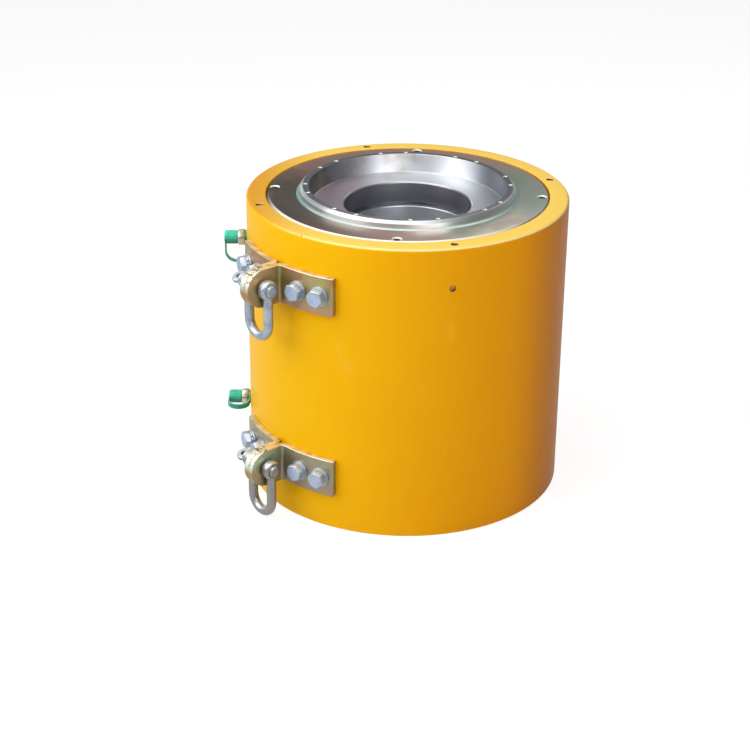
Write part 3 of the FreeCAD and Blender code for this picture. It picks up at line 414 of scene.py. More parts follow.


# %% [markdown]
# ## Turned and plated steel
# The gland ring, the piston and the tube come off a lathe. A lathe leaves fine rings, which follow the
# radius on a flat face and the height on a bore, so one number, radius plus height, draws both. The
# piston's wall, floor, rim and bore mirror different parts of a workshop, and a plain room can't give them
# that, so each has its own tone: painted reflections and painted shade, set by side.

# %% Turned steel
ROD_RADIUS = 167.5
PISTON_TOP = 482
RIM_BEVEL = 4.5
RIM_INSIDE = 153.6
RECESS_RADIUS = 149
ANCHOR_EDGE = 101
TUBE_PALE = srgb(214, 216, 222)
TUBE_GREY = srgb(198, 200, 207)
TUBE_STAIN = srgb(170, 166, 160)
PISTON_PALE = srgb(230, 234, 238)
PISTON_GREY = srgb(206, 209, 213)
PISTON_STAIN = srgb(168, 158, 142)
RECESS_WALL_LIT = srgb(228, 230, 235)
RECESS_LEFT_SHADE = srgb(104, 104, 104)
RECESS_RIGHT_SHADE = srgb(124, 127, 134)
RIM_FRONT_LIT = srgb(166, 160, 166)
RIM_SIDE_SHADE = srgb(124, 126, 134)
BORE_SHADE = srgb(170, 170, 176)
RECESS_FLOOR_REFLECTION = srgb(206, 186, 196)


def lathe_rings(finish, pitch, strength):
    way = finish.radius() + finish.along("Z")
    wander = finish.noise(9.0, 1.0) * 2
    ring = finish.math("SINE", (way + wander) * (2 * math.pi / pitch))
    fine = finish.node("ShaderNodeTexNoise", {"noise_dimensions": "1D"},
                       {"W": way * 0.9, "Scale": 1.0, "Detail": 1.0}, "Fac")
    return finish.bump(ring * 0.3 + fine, 0.0001, strength)


def turned_surface(steel, tone, rough, strength, anisotropic):
    normal = lathe_rings(steel, 1.1, strength)
    return steel.surface(tone, rough, 1.0, normal, anisotropic=anisotropic, anisotropic_rotation=0.25)


def tube_steel():
    steel = Finish("tube_steel")
    tone = steel.mix(steel.patches(0.38, 0.66, 7.0, 2.0), TUBE_PALE, TUBE_GREY)
    marked = steel.patches(0.52, 0.78, 13.0, 4.0, 0.55)
    tone = steel.mix(marked * 0.35, tone, TUBE_STAIN)
    rough = 0.30 + 0.10 * steel.noise(40.0, 3.0) + 0.05 * marked
    return turned_surface(steel, tone, rough, 0.06, 0.65)


def piston_steel():
    """The rim, the recess wall, its floor and the bore each get their own painted reflection or painted
    shade.
    """
    steel = Finish("piston_steel")
    radius = steel.radius()
    right = steel.towards(RIGHT)
    tone = steel.mix(steel.patches(0.38, 0.66, 7.0, 2.0), PISTON_PALE, PISTON_GREY)
    outside = steel.step(radius, RIM_INSIDE - 0.2, RIM_INSIDE + 0.1)
    inner = (1 - outside) * steel.step(radius, ANCHOR_EDGE - 0.5, ANCHOR_EDGE)
    on_the_wall = steel.step(radius, RECESS_RADIUS - 0.5, RECESS_RADIUS + 0.2)
    # Painted reflection and shade on the recess wall: dark on the left, bright at the back, darker on the
    # right.
    wall_light_and_shade = steel.mix(steel.step(right, -135, -60), RECESS_LEFT_SHADE, RECESS_WALL_LIT)
    wall_light_and_shade = steel.mix(steel.step(right, 70, 135), wall_light_and_shade, RECESS_RIGHT_SHADE)
    tone = steel.mix(inner * on_the_wall, tone, wall_light_and_shade)
    # A painted pink reflection on the left of the recess floor, then painted shade in the bore.
    tone = steel.mix(inner * (1 - on_the_wall) * steel.step(right, -20, -130), tone, RECESS_FLOOR_REFLECTION)
    tone = steel.mix(steel.step(radius, ANCHOR_EDGE - 0.2, ANCHOR_EDGE - 0.8), tone, BORE_SHADE)
    on_the_rim = steel.step(radius, ROD_RADIUS - RIM_BEVEL, ROD_RADIUS - RIM_BEVEL - 0.4)
    rim = outside * on_the_rim * steel.step(steel.along("Z"), PISTON_TOP - 0.5, PISTON_TOP - 0.2)
    # Painted reflection on the rim: lighter at the front, darker at the sides.
    front = steel.step(steel.towards(AHEAD), 40, 140)
    tone = steel.mix(rim, tone, steel.mix(front, RIM_SIDE_SHADE, RIM_FRONT_LIT))
    marked = steel.patches(0.52, 0.74, 13.0, 4.0, 0.55) * (0.10 + 0.35 * inner + 0.35 * inner * on_the_wall)
    tone = steel.mix(marked, tone, PISTON_STAIN)
    rough = 0.27 + 0.10 * steel.noise(40.0, 3.0) + 0.06 * marked + 0.10 * inner
    return turned_surface(steel, tone, rough, 0.12, 0.55)


# %% [markdown]
# ## Yellow zinc
# The gland ring and the brackets are dipped in yellow zinc, a film so thin that its colour shifts with its
# thickness from olive to brown, pink and green. A real film could be worked out from interference. Broad
# zones with soft clouds over them are simpler and can be put where the photograph has them. The zones set
# by side are partly film colour and partly painted reflection and shade. The gland ring's bright edge is a
# painted highlight; the brackets' pale upward edges are partly wear and partly painted highlight.

# %% Yellow zinc on the gland ring
GLAND_HIGHLIGHT_BAND = (213.2, 214.8)
GLAND_HIGHLIGHT_AZIMUTH = 34
FILM_LEFT_SHADE = srgb(102, 88, 72)
FILM_FRONT_REFLECTION = srgb(214, 190, 174)
FILM_RIGHT_REFLECTION = srgb(186, 200, 184)
FILM_BACK_REFLECTION = srgb(202, 150, 134)
FILM_NEAR_HIGHLIGHT = srgb(250, 246, 224)
FILM_PINK = srgb(210, 150, 152)
FILM_GREEN = srgb(150, 184, 146)
GLAND_EDGE_HIGHLIGHT = srgb(250, 246, 232)


def film_clouds(zinc, colour, pink, green, share):
    """Lays soft pink and green clouds over a colour."""
    colour = zinc.mix(zinc.patches(0.50, 0.70, 11.0, 3.0, 0.55) * share, colour, pink)
    elsewhere = zinc.mapped(Location=(3.1, 1.7, 0.4))
    return zinc.mix(zinc.patches(0.52, 0.70, 9.0, 2.0, point=elsewhere) * share, colour, green)


def gland_zinc():
    """Film colour with painted reflection and shade by side, brown on one side, pale green on the other, and
    a painted highlight on the bevelled edge.
    """
    zinc = Finish("gland_zinc")
    right = zinc.towards(RIGHT)
    ahead = zinc.towards(AHEAD)
    # Film colour with painted reflection and shade by side: dark on the left, pale at the front, green on the
    # right.
    colour = zinc.mix(zinc.step(right, -200, 40), FILM_LEFT_SHADE, FILM_FRONT_REFLECTION)
    colour = zinc.mix(zinc.step(right, 20, 180), colour, FILM_RIGHT_REFLECTION)
    colour = zinc.mix(zinc.step(ahead, -20, -190) * 0.8, colour, FILM_BACK_REFLECTION)
    # A painted highlight on the front right of the gland ring.
    near = zinc.step(ahead, 20, 120) * zinc.step(right, 30, 100) * zinc.step(right, 200, 150)
    colour = zinc.mix(near * 0.85, colour, FILM_NEAR_HIGHLIGHT)
    colour = film_clouds(zinc, colour, FILM_PINK, FILM_GREEN, 0.5)
    # A painted highlight along the front of the bevelled outer edge, less metallic where it lies.
    worn = zinc.step(zinc.radius(), *GLAND_HIGHLIGHT_BAND) * zinc.step(zinc.towards(GLAND_HIGHLIGHT_AZIMUTH), 60, 160)
    colour = zinc.mix(worn, colour, GLAND_EDGE_HIGHLIGHT)
    rough = 0.27 + 0.10 * zinc.noise(45.0, 4.0)
    normal = zinc.bump(zinc.noise(240.0, 3.0), 0.0002, 0.10, over=lathe_rings(zinc, 1.3, 0.10))
    return zinc.surface(colour, rough, 1.0 - 0.8 * worn, normal, anisotropic=0.6, anisotropic_rotation=0.25)


# %% Yellow zinc on the brackets
BRACKET_HEIGHTS = {"upper": 387, "lower": 89}
PLATE_OLIVE = srgb(172, 152, 104)
PLATE_BROWN = srgb(160, 124, 84)
PLATE_GREY = srgb(142, 146, 128)
PLATE_PINK = srgb(180, 138, 116)
PLATE_GREEN = srgb(150, 156, 110)
PLATE_WEAR_AND_HIGHLIGHT = srgb(248, 236, 206)
PLATE_PIT = srgb(96, 70, 48)
PLATE_FOLD = srgb(122, 122, 66)
TAB_BROWN_LIT = srgb(204, 170, 126)
TAB_GREEN_LIT = srgb(182, 204, 168)
TAB_LOW_SHADE = srgb(150, 128, 88)
TAB_RIM_LOW_SHADE = srgb(160, 126, 76)
TAB_RIM_HIGHLIGHT = srgb(226, 240, 232)


def bracket_zinc():
    """Warmer on the upper bracket, greyer and greener on the lower one. Pale where it faces up, partly rubbed
    and partly a painted highlight; the tabs carry painted highlights high up and painted shade low down.
    """
    zinc = Finish("bracket_zinc")
    z = zinc.along("Z")
    up = zinc.facing("Z")
    upper = zinc.step(z, 200, 250)
    rise = BRACKET_HEIGHTS["upper"] - BRACKET_HEIGHTS["lower"]
    above = z - (BRACKET_HEIGHTS["lower"] + rise * upper)
    standing_out = zinc.step(zinc.radius(), BODY_RADIUS + 12, BODY_RADIUS + 35)
    colour = zinc.mix(zinc.patches(0.38, 0.62, 16.0, 3.0, distortion=0.6), PLATE_OLIVE, PLATE_BROWN)
    colour = film_clouds(zinc, colour, PLATE_PINK, PLATE_GREEN, 0.65)
    colour = zinc.mix(zinc.step(above, -5, -26) * 0.7, colour, PLATE_PINK)
    in_the_fold = zinc.step(zinc.math("ABSOLUTE", zinc.along("X")), 40, 16)
    colour = zinc.mix(in_the_fold * 0.35, colour, PLATE_FOLD)
    colour = zinc.mix(zinc.step(z, 300, 150) * 0.6, colour, PLATE_GREY)
    # The tab's face: film colour with a painted highlight on its upper part and painted shade on its lower
    # part.
    face = zinc.mix(zinc.step(above, -4, 16), TAB_LOW_SHADE, zinc.mix(upper, TAB_GREEN_LIT, TAB_BROWN_LIT))
    colour = zinc.mix(standing_out * 0.6, colour, face)
    # The tab's round edge: a painted highlight high up, film colour in painted shade low down.
    on_the_rim = zinc.step(zinc.math("ABSOLUTE", zinc.facing("X")), 0.9, 0.5)
    rim = zinc.mix(zinc.step(above, -6, 12), TAB_RIM_LOW_SHADE, TAB_RIM_HIGHLIGHT)
    colour = zinc.mix(standing_out * on_the_rim * 0.85, colour, rim)
    # Faces that point up are pale: partly rubbed wear, partly a painted highlight.
    rubbed = zinc.step(up, 0.25, 0.70) * (0.55 + 0.45 * zinc.patches(0.35, 0.6, 60.0, 3.0))
    colour = zinc.mix(rubbed, colour, PLATE_WEAR_AND_HIGHLIGHT)
    pitted = zinc.patches(0.56, 0.64, 150.0, 2.0) * standing_out * zinc.step(up, 0.15, 0.4)
    colour = zinc.mix(pitted * 0.85, colour, PLATE_PIT)
    rough = 0.28 + 0.14 * zinc.noise(45.0, 4.0)
    return zinc.surface(colour, rough, 0.70, zinc.bump(zinc.noise(240.0, 3.0), 0.0002, 0.10))


# %% [markdown]
# ## Zinc, brass, plastic and rubber
# Hot-dipped zinc has a blue-grey bloom and a grain like frost, with a painted highlight where it faces up.
# Machined brass is smooth and warm. The dust caps are soft moulded plastic, with painted light on top and
# painted shade below. The holes get a finish of their own: a painted highlight on the broken edge over
# painted shade deeper in. Each could be one flat colour at this size, but a little noise in tone and gloss
# is what makes them sit in the picture.

# %% The smaller finishes
ZINC_TOP_HIGHLIGHT = srgb(238, 244, 250)
CAP_SHADE = srgb(0, 92, 66)
CAP_LIGHT = srgb(66, 212, 182)
CAP_WORN = srgb(40, 140, 100)
WIPER_SHADE = srgb(120, 152, 144)
WIPER_LIGHT = srgb(206, 222, 214)
HOLE_EDGE_HIGHLIGHT = srgb(250, 248, 240)
HOLE_SHADE = srgb(92, 84, 68)


def dipped_zinc(name, pale, dark, roughness, frost, lower_tone=None):
    zinc = Finish(name)
    grain = zinc.node("ShaderNodeTexVoronoi", {}, {"Vector": zinc.point, "Scale": frost}, "Color")
    spangle = zinc.node("ShaderNodeSeparateColor", {}, {0: grain}, "Red")
    cloud = zinc.noise(60.0, 4.0, 0.6)
    colour = zinc.mix(zinc.step(0.75 * cloud + 0.25 * spangle, 0.25, 0.75), dark, pale)
    # Warmer and browner towards the bottom, in clouds.
    if lower_tone:
        colour = zinc.mix(zinc.step(zinc.along("Z"), 200, 80) * (0.3 + 0.6 * cloud), colour, lower_tone)
    # A painted highlight on faces that point up.
    colour = zinc.mix(zinc.step(zinc.facing("Z"), 0.30, 0.85) * 0.75, colour, ZINC_TOP_HIGHLIGHT)
    rough = roughness + 0.16 * zinc.noise(90.0, 3.0)
    normal = zinc.bump(zinc.noise(300.0, 2.0, 0.5), 0.0002, 0.10)
    normal = zinc.bump(zinc.noise(70.0, 2.0), 0.0006, 0.18, over=normal)
    return zinc.surface(colour, rough, 0.85, normal)


def machined(name, colour, dark, roughness, metallic=1.0):
    metal = Finish(name)
    tone = metal.mix(metal.patches(0.40, 0.68, 70.0, 4.0), colour, dark)
    rough = roughness + 0.15 * metal.noise(120.0, 3.0)
    return metal.surface(tone, rough, metallic, metal.bump(metal.noise(600.0, 2.0), 0.0001, 0.12))


def hole_steel(name, top):
    """A painted highlight at a hole's broken edge, painted shade below it. The top is the height of the face.
    """
    metal = Finish(name)
    # Painted shade deeper in the hole, a painted highlight at its top edge.
    tone = metal.mix(metal.step(metal.along("Z"), top - 3.0, top - 1.4), HOLE_SHADE, HOLE_EDGE_HIGHLIGHT)
    return metal.surface(tone, 0.35, 0.15, metal.bump(metal.noise(600.0, 2.0), 0.0001, 0.12))


def moulded(plastic, tone, roughness, spread=0.15, grain=0.12):
    rough = roughness + spread * plastic.noise(70.0, 3.0)
    return plastic.surface(tone, rough, 0.0, plastic.bump(plastic.noise(500.0, 2.0), 0.0002, grain))


def worn_plastic(name, colour, worn, roughness):
    plastic = Finish(name)
    return moulded(plastic, plastic.mix(plastic.patches(0.42, 0.70, 90.0, 4.0), colour, worn), roughness)


def cap_green():
    """Green plastic, lighter and bluer where it faces up: painted light above, painted shade below."""
    plastic = Finish("green_plastic")
    tone = plastic.mix(plastic.step(plastic.facing("Z"), -0.4, 0.7), CAP_SHADE, CAP_LIGHT)
    tone = plastic.mix(plastic.patches(0.42, 0.70, 90.0, 4.0) * 0.3, tone, CAP_WORN)
    return moulded(plastic, tone, 0.18, 0.10, 0.10)


def wiper_plastic():
    """The wiper's pale green, with a painted highlight that makes it whiter at the front."""
    plastic = Finish("seal_plastic")
    tone = plastic.mix(plastic.step(plastic.towards(AHEAD), 50, 160), WIPER_SHADE, WIPER_LIGHT)
    return moulded(plastic, tone, 0.30)


FINISHES = {
    "yellow_paint": yellow_enamel(),
    "tube_steel": tube_steel(),
    "piston_steel": piston_steel(),
    "zinc_plate": gland_zinc(),
    "bracket_steel": bracket_zinc(),
    "bolt_steel": dipped_zinc("bolt_zinc", srgb(182, 196, 214), srgb(150, 166, 190), 0.34, 700.0),
    "shackle_steel": dipped_zinc("shackle_zinc", srgb(180, 190, 200), srgb(142, 152, 164), 0.30, 420.0,
                                 srgb(132, 120, 100)),
    "brass": machined("port_brass", srgb(200, 198, 180), srgb(150, 144, 120), 0.25),
    "copper": machined("ring_copper", srgb(200, 130, 96), srgb(150, 90, 62), 0.30),
    "black_steel": machined("screw_steel", srgb(206, 142, 52), srgb(136, 86, 30), 0.40, 0.3),
    "green_plastic": cap_green(),
    "seal_plastic": wiper_plastic(),
    "guide_plastic": worn_plastic("guide_plastic", srgb(170, 130, 86), srgb(140, 104, 66), 0.45),
    "black_rubber": worn_plastic("black_rubber", srgb(34, 34, 36), srgb(52, 52, 54), 0.55),
}
THREAD = machined("bare_thread", srgb(176, 156, 116), srgb(112, 94, 66), 0.35)
GLAND_HOLE = hole_steel("gland_hole", BODY_HEIGHT)
PISTON_HOLE = hole_steel("piston_hole", PISTON_TOP)
for item in frame["record"]["subparts"]:
    mesh = CAD_NODES[item["node"]].data
    mesh.materials.clear()
    mesh.materials.append(FINISHES[item["material_slot"]])
print(len(FINISHES), "finishes")

# %% [markdown]
# ## A lathe made of nodes
# The barrel, the gland ring, the piston and the tube are all turned, so one Geometry Nodes tree is their
# lathe. It takes the outline of half a section and carries it round a circle. Spinning the outline by hand
# would also do, but the tree keeps the number of steps a named input.

# %% Tools for node trees and meshes
def new_geometry_tree(name, inputs):
    """A geometry tree with named inputs: its graph, its inputs as links, and their identifiers."""
    tree = bpy.data.node_groups.new(name, "GeometryNodeTree")
    graph = Graph(tree)
    tree.interface.new_socket("Geometry", in_out="INPUT", socket_type="NodeSocketGeometry")
    names = {}
    for label, kind in inputs.items():
        socket = tree.interface.new_socket(label, in_out="INPUT", socket_type="NodeSocket" + kind)
        names[label] = socket.identifier
    tree.interface.new_socket("Geometry", in_out="OUTPUT", socket_type="NodeSocketGeometry")
    entry = graph.node("NodeGroupInput", output="Geometry").socket.node
    links = {label: Link(graph, graph.find(entry.outputs, label)) for label in ["Geometry", *inputs]}
    return graph, links, names


def close_tree(graph, geometry, material):
    """Ends a tree in Realize Instances and Set Material."""
    real = graph.node("GeometryNodeRealizeInstances", {}, {"Geometry": geometry}, "Geometry")
    dressed = graph.node("GeometryNodeSetMaterial", {}, {"Geometry": real, "Material": material}, "Geometry")
    graph.node("NodeGroupOutput", {}, {"Geometry": dressed})


def plain_copy(source, name):
    """The result of an object's modifiers as a plain object. The source is deleted."""
    bpy.context.view_layer.update()
    graph = bpy.context.evaluated_depsgraph_get()
    mesh = bpy.data.meshes.new_from_object(source.evaluated_get(graph))
    bpy.data.objects.remove(source)
    mesh.name = name
    return linked(name, mesh)


def run_tree(mesh, tree, names, values, name):
    """Runs a tree on a mesh."""
    source = linked(name + "_source", mesh)
    modifier = source.modifiers.new("tree", "NODES")
    modifier.node_group = tree
    for label, value in values.items():
        modifier[names[label]] = value
    return plain_copy(source, name)


def tidy_mesh(mesh, gap=1e-6):
    """Joins doubled points and turns every face outwards."""
    work = bmesh.new()
    work.from_mesh(mesh)
    bmesh.ops.remove_doubles(work, verts=work.verts, dist=gap)
    bmesh.ops.dissolve_degenerate(work, edges=work.edges, dist=gap)
    bmesh.ops.recalc_face_normals(work, faces=work.faces)
    work.to_mesh(mesh)
    work.free()


# %% The lathe
LATHE_CIRCLE = 1.0


def build_lathe():
    kinds = {"Steps": "Int", "Circle": "Float", "Material": "Material"}
    graph, links, names = new_geometry_tree("lathe", kinds)
    outline = graph.node("GeometryNodeMeshToCurve", {}, {"Mesh": links["Geometry"]}, "Curve")
    circle = graph.node("GeometryNodeCurvePrimitiveCircle", {},
                        {"Resolution": links["Steps"], "Radius": links["Circle"]}, "Curve")
    solid = graph.node("GeometryNodeCurveToMesh", {}, {"Curve": circle, "Profile Curve": outline}, "Mesh")
    close_tree(graph, solid, links["Material"])
    return graph.tree, names


LATHE, LATHE_NAMES = build_lathe()


def rounded(corners, pieces=4):
    """Rounds a closed outline. A corner is (radius, height) or (radius, height, rounding), in millimetres."""
    points = []
    count = len(corners)
    for index, corner in enumerate(corners):
        here = Vector(corner[:2])
        rounding = corner[2] if len(corner) > 2 else 0
        before = Vector(corners[index - 1][:2]) - here
        after = Vector(corners[(index + 1) % count][:2]) - here
        half = before.angle(after) / 2
        if not rounding or half > math.radians(88):
            points.append(here)
            continue
        back = min(rounding / math.tan(half), 0.49 * before.length, 0.49 * after.length)
        bulge = back * math.tan(half)
        centre = here + (before.normalized() + after.normalized()).normalized() * (bulge / math.sin(half))
        start = here + before.normalized() * back - centre
        sweep = math.copysign(math.pi - 2 * half, before.x * after.y - before.y * after.x)
        for step in range(pieces + 1):
            points.append(centre + Matrix.Rotation(-sweep * step / pieces, 2) @ start)
    return points


def lathe(name, corners, steps, material, pieces=4):
    """Turns an outline about the jack's axis, or about the axis of a tool that stands at the origin."""
    points = rounded(corners, pieces)
    mesh = bpy.data.meshes.new(name + "_outline")
    places = [(point.x * MM - LATHE_CIRCLE, -point.y * MM, 0) for point in reversed(points)]
    mesh.from_pydata(places, [(i, (i + 1) % len(places)) for i in range(len(places))], [])
    values = {"Steps": steps, "Circle": LATHE_CIRCLE, "Material": material}
    result = run_tree(mesh, LATHE, LATHE_NAMES, values, name)
    tidy_mesh(result.data)
    return result


def lathe_mesh(name, corners, steps, material, pieces=4):
    """The same as a mesh alone, for a tool or a part that is joined to others."""
    piece = lathe(name, corners, steps, material, pieces)
    mesh = piece.data
    bpy.data.objects.remove(piece)
    return mesh


def plug(radius, low, high, edge=0, inner=0):
    """The outline of a short cylinder, or of a ring where it has an inner radius."""
    return [(inner, low), (radius, low, edge), (radius, high, edge), (inner, high)]


print("lathe ready, inputs", sorted(LATHE_NAMES))

# %% [markdown]
# ## Holes in a ring
# The top of the jack has three circles of holes. A hole is cut with a drill, and here the drill is a small
# turned solid with the thread and the countersink already on it. A second tree sets copies of it round a
# circle, and one Boolean takes them all away. The cut faces keep the drill's bare steel.

# %% Copies round a circle
def build_circle_of_copies():
    kinds = {"Copies": "Int", "Radius": "Float", "Height": "Float", "First Angle": "Float",
             "Material": "Material"}
    graph, links, names = new_geometry_tree("circle_of_copies", kinds)
    points = graph.node("GeometryNodePoints", {}, {"Count": links["Copies"]}, 0)
    index = graph.node("GeometryNodeInputIndex")
    angle = links["First Angle"] + index * (2 * math.pi) / links["Copies"]
    x = graph.math("SINE", angle) * links["Radius"]
    y = graph.math("COSINE", angle) * links["Radius"] * -1.0
    place = graph.node("ShaderNodeCombineXYZ", {}, {"X": x, "Y": y, "Z": links["Height"]})
    points = graph.node("GeometryNodeSetPosition", {}, {"Geometry": points, "Position": place}, "Geometry")
    turn = graph.node("ShaderNodeCombineXYZ", {}, {"Z": angle})
    copies = graph.node("GeometryNodeInstanceOnPoints", {},
                        {"Points": points, "Instance": links["Geometry"], "Rotation": turn}, "Instances")
    close_tree(graph, copies, links["Material"])
    return graph.tree, names


CIRCLE, CIRCLE_NAMES = build_circle_of_copies()


def circle_of(mesh, copies, radius, height, first, material):
    """Copies of a mesh that stands at the origin, round the jack's axis. Millimetres and degrees."""
    values = {"Copies": copies, "Radius": radius * MM, "Height": height * MM,
              "First Angle": math.radians(first), "Material": material}
    return run_tree(mesh, CIRCLE, CIRCLE_NAMES, values, "circle")


def drill(radius, depth, crest=0.0, pitch=0.0, sink=0.0, steps=32, material=THREAD):
    """A drill that points down from height 0, with thread ridges where a crest and a pitch are given."""
    corners = [(0, -depth - radius * 0.35), (radius, -depth)]
    if crest:
        for turn in range(int((depth - sink) / pitch) - 1):
            corners.append((radius, -depth + (turn + 0.5) * pitch))
            corners.append((crest, -depth + (turn + 1.0) * pitch))
    if sink:
        corners.append((radius, -sink))
    corners += [(radius + sink, 0), (radius + sink, 2.0), (0, 2.0)]
    return lathe_mesh("drill", corners, steps, material)


def carve(piece, tool):
    """Takes a tool away from a piece, by an exact Boolean. The tool is deleted."""
    cut = piece.modifiers.new("cut", "BOOLEAN")
    cut.operation = "DIFFERENCE"
    cut.solver = "EXACT"
    cut.material_mode = "TRANSFER"
    cut.object = tool
    name = piece.name
    result = plain_copy(piece, name + "_cut")
    bpy.data.objects.remove(tool)
    result.name = name
    return result


def bored(piece, outline, steps, place, material):
    """Takes a turned tool at a place away from a piece."""
    tool = lathe("tool", outline, steps, material)
    tool.data.transform(place)
    return carve(piece, tool)


def settle(piece, body, node):
    """Smooths a finished piece, ties it to a body and hides the CAD node it stands for."""
    piece.data.shade_smooth()
    piece.data.set_sharp_from_angle(angle=math.radians(32))
    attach(piece, body)
    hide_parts(node)
    print(piece.name, len(piece.data.polygons), "faces")


# %% [markdown]
# ## Barrel
# The barrel is one thick cylinder with a base, turned, drilled and painted. The paint rounds its top edge,
# and a pale line along it is a painted highlight on the front. The side has extra rings near the lock
# screw so that the Boolean there disturbs only a small patch of the surface.

# %% Barrel
GLAND_RADIUS = 220
GLAND_SEAT = 396
BORE_RADIUS = 205
BASE_TOP = 100
TUBE_RADIUS = 108
TUBE_FOOT = (118, 22)
LOCK_SCREW = (63.6, 407.8)
SCREW_RADIUS = 5
BOLT_ANGLES = (-18.9, -10.3, 10.3, 18.9)
BOLT_RADIUS = 8
PORT_RADIUS = 8
OIL_WAY = 3
PORT_HEIGHTS = {"upper": 391.4, "lower": 114}
PORT_AZIMUTH = -42
SIDE_RINGS = (74, 128, 370, 401.2, LOCK_SCREW[1] + 7.5)
# A tap's hole, depth, crest, pitch and countersink
RIM_TAP = (5.1, 24, 5.8, 1.75, 0.9)
BASE_TAP = (6.9, 28, 7.8, 2.0, 1.2)
RIM_TAP_CIRCLE = (4, 235)
BASE_TAP_CIRCLE = (4, 200)
RIM_TAP_AZIMUTH = 65
BASE_TAP_AZIMUTH = 45
BOLT_DEPTH = 24
PORT_DEPTH = 20
FIT = 0.05


def radial(azimuth, distance, height, spin=0.0):
    """A place whose Z points out of the barrel. Lengths in millimetres, angles in degrees."""
    return (turned(azimuth, "Z") @ Matrix.Translation((0, -distance * MM, height * MM))
            @ turned(90, "X") @ turned(spin, "Z"))


def joined(meshes, name, material):
    """One object from several (mesh, place) pairs."""
    work = bmesh.new()
    for mesh, place in meshes:
        copy = mesh.copy()
        copy.transform(place)
        work.from_mesh(copy)
        bpy.data.meshes.remove(copy)
    result = bpy.data.meshes.new(name)
    work.to_mesh(result)
    work.free()
    result.materials.append(material)
    return linked(name, result)


def side_drills():
    """One tool with all the holes in the barrel's side."""
    bolt = drill(BOLT_RADIUS + FIT, BOLT_DEPTH)
    port = drill(PORT_RADIUS + FIT, PORT_DEPTH)
    way = lathe_mesh("way", plug(OIL_WAY, -60, 0), 20, THREAD)
    hole = SCREW_RADIUS + FIT
    screw = lathe_mesh("screw_hole", [(0, -45), (hole, -45), (hole, -0.5), (5.6, 1), (0, 1)], 32, THREAD)
    tools = []
    for level in LEVELS:
        tools += [(bolt, radial(angle, BODY_RADIUS, BRACKET_HEIGHTS[level])) for angle in BOLT_ANGLES]
        tools.append((port, radial(PORT_AZIMUTH, BODY_RADIUS, PORT_HEIGHTS[level])))
        tools.append((way, radial(PORT_AZIMUTH, BODY_RADIUS - 15, PORT_HEIGHTS[level])))
    tools.append((screw, radial(LOCK_SCREW[0], BODY_RADIUS, LOCK_SCREW[1])))
    return joined(tools, "side_drills", THREAD)


def make_barrel():
    foot, foot_height = TUBE_FOOT
    corners = [(foot + FIT, 0, 0.8), (BODY_RADIUS, 0, 2.2)]
    corners += [(BODY_RADIUS, level) for level in SIDE_RINGS]
    corners += [(BODY_RADIUS, BODY_HEIGHT, 5), (GLAND_RADIUS, BODY_HEIGHT, 0.8), (GLAND_RADIUS, GLAND_SEAT),
                (BORE_RADIUS, GLAND_SEAT), (BORE_RADIUS, BASE_TOP), (TUBE_RADIUS + FIT, BASE_TOP),
                (TUBE_RADIUS + FIT, foot_height), (foot + FIT, foot_height)]
    barrel = lathe("barrel_painted", corners, 360, FINISHES["yellow_paint"], 6)
    rim = circle_of(drill(*RIM_TAP), *RIM_TAP_CIRCLE, BODY_HEIGHT, RIM_TAP_AZIMUTH, THREAD)
    barrel = carve(barrel, rim)
    under = drill(*BASE_TAP)
    under.transform(turned(180, "X"))
    barrel = carve(barrel, circle_of(under, *BASE_TAP_CIRCLE, 0, BASE_TAP_AZIMUTH, THREAD))
    barrel = carve(barrel, side_drills())
    settle(barrel, "barrel", "cylinder_barrel")


make_barrel()

# %% [markdown]
# ## Gland ring and wiper
# The gland ring closes the oil chamber and guides the piston. Its bevelled edge is the bright line inside
# the yellow, a painted highlight on the front. The wiper is the pale green lip that keeps dirt out. Both
# are turned outlines again, with the grooves for the hidden seals, which show in a section.

# %% Gland ring and wiper
WIPER_OUTSIDE = 173
WIPER_GROOVE = 461
# A groove's bottom and its two heights
GLAND_SEAL = (216, 397.5, 402)
ROD_SEAL = (176.5, 438, 426)
ROD_GUIDE = (171, 420, 402)
GLAND_EDGE = 4
SPANNER_HOLE = (6.5, 20)
SPANNER_CIRCLE = (4, 207.5)
SPANNER_AZIMUTH = 44


def groove(face, bottom, start, end):
    """The four corners of a groove, from the height where the outline meets it to where it leaves it."""
    return [(face, start), (bottom, start), (bottom, end), (face, end)]


def make_gland():
    top = BODY_HEIGHT
    outside = GLAND_RADIUS - FIT
    inside = ROD_RADIUS + 0.3
    corners = [(inside, GLAND_SEAT), (outside, GLAND_SEAT), *groove(outside, *GLAND_SEAL),
               (outside, top - GLAND_EDGE, 0.7), (outside - GLAND_EDGE, top, 0.7), (WIPER_OUTSIDE, top, 0.4),
               (WIPER_OUTSIDE, WIPER_GROOVE), (inside, WIPER_GROOVE), *groove(inside, *ROD_SEAL),
               *groove(inside, *ROD_GUIDE)]
    gland = lathe("gland_plated", corners, 360, FINISHES["zinc_plate"])
    holes = drill(*SPANNER_HOLE, sink=1.4, material=GLAND_HOLE)
    gland = carve(gland, circle_of(holes, *SPANNER_CIRCLE, top, SPANNER_AZIMUTH, GLAND_HOLE))
    settle(gland, "barrel", "gland_ring")


def make_wiper():
    top = BODY_HEIGHT
    inside = ROD_RADIUS + FIT
    corners = [(inside, WIPER_GROOVE), (WIPER_OUTSIDE, WIPER_GROOVE), (WIPER_OUTSIDE, top - 0.2, 0.5),
               (171.2, top - 0.2, 0.4), (170.2, top + 0.7, 0.4), (168.9, top + 1.2, 0.5),
               (inside, top + 0.9, 0.2)]
    wiper = lathe("wiper_lip", corners, 288, FINISHES["seal_plastic"], 3)
    settle(wiper, "barrel", "rod_wiper")


make_gland()
make_wiper()

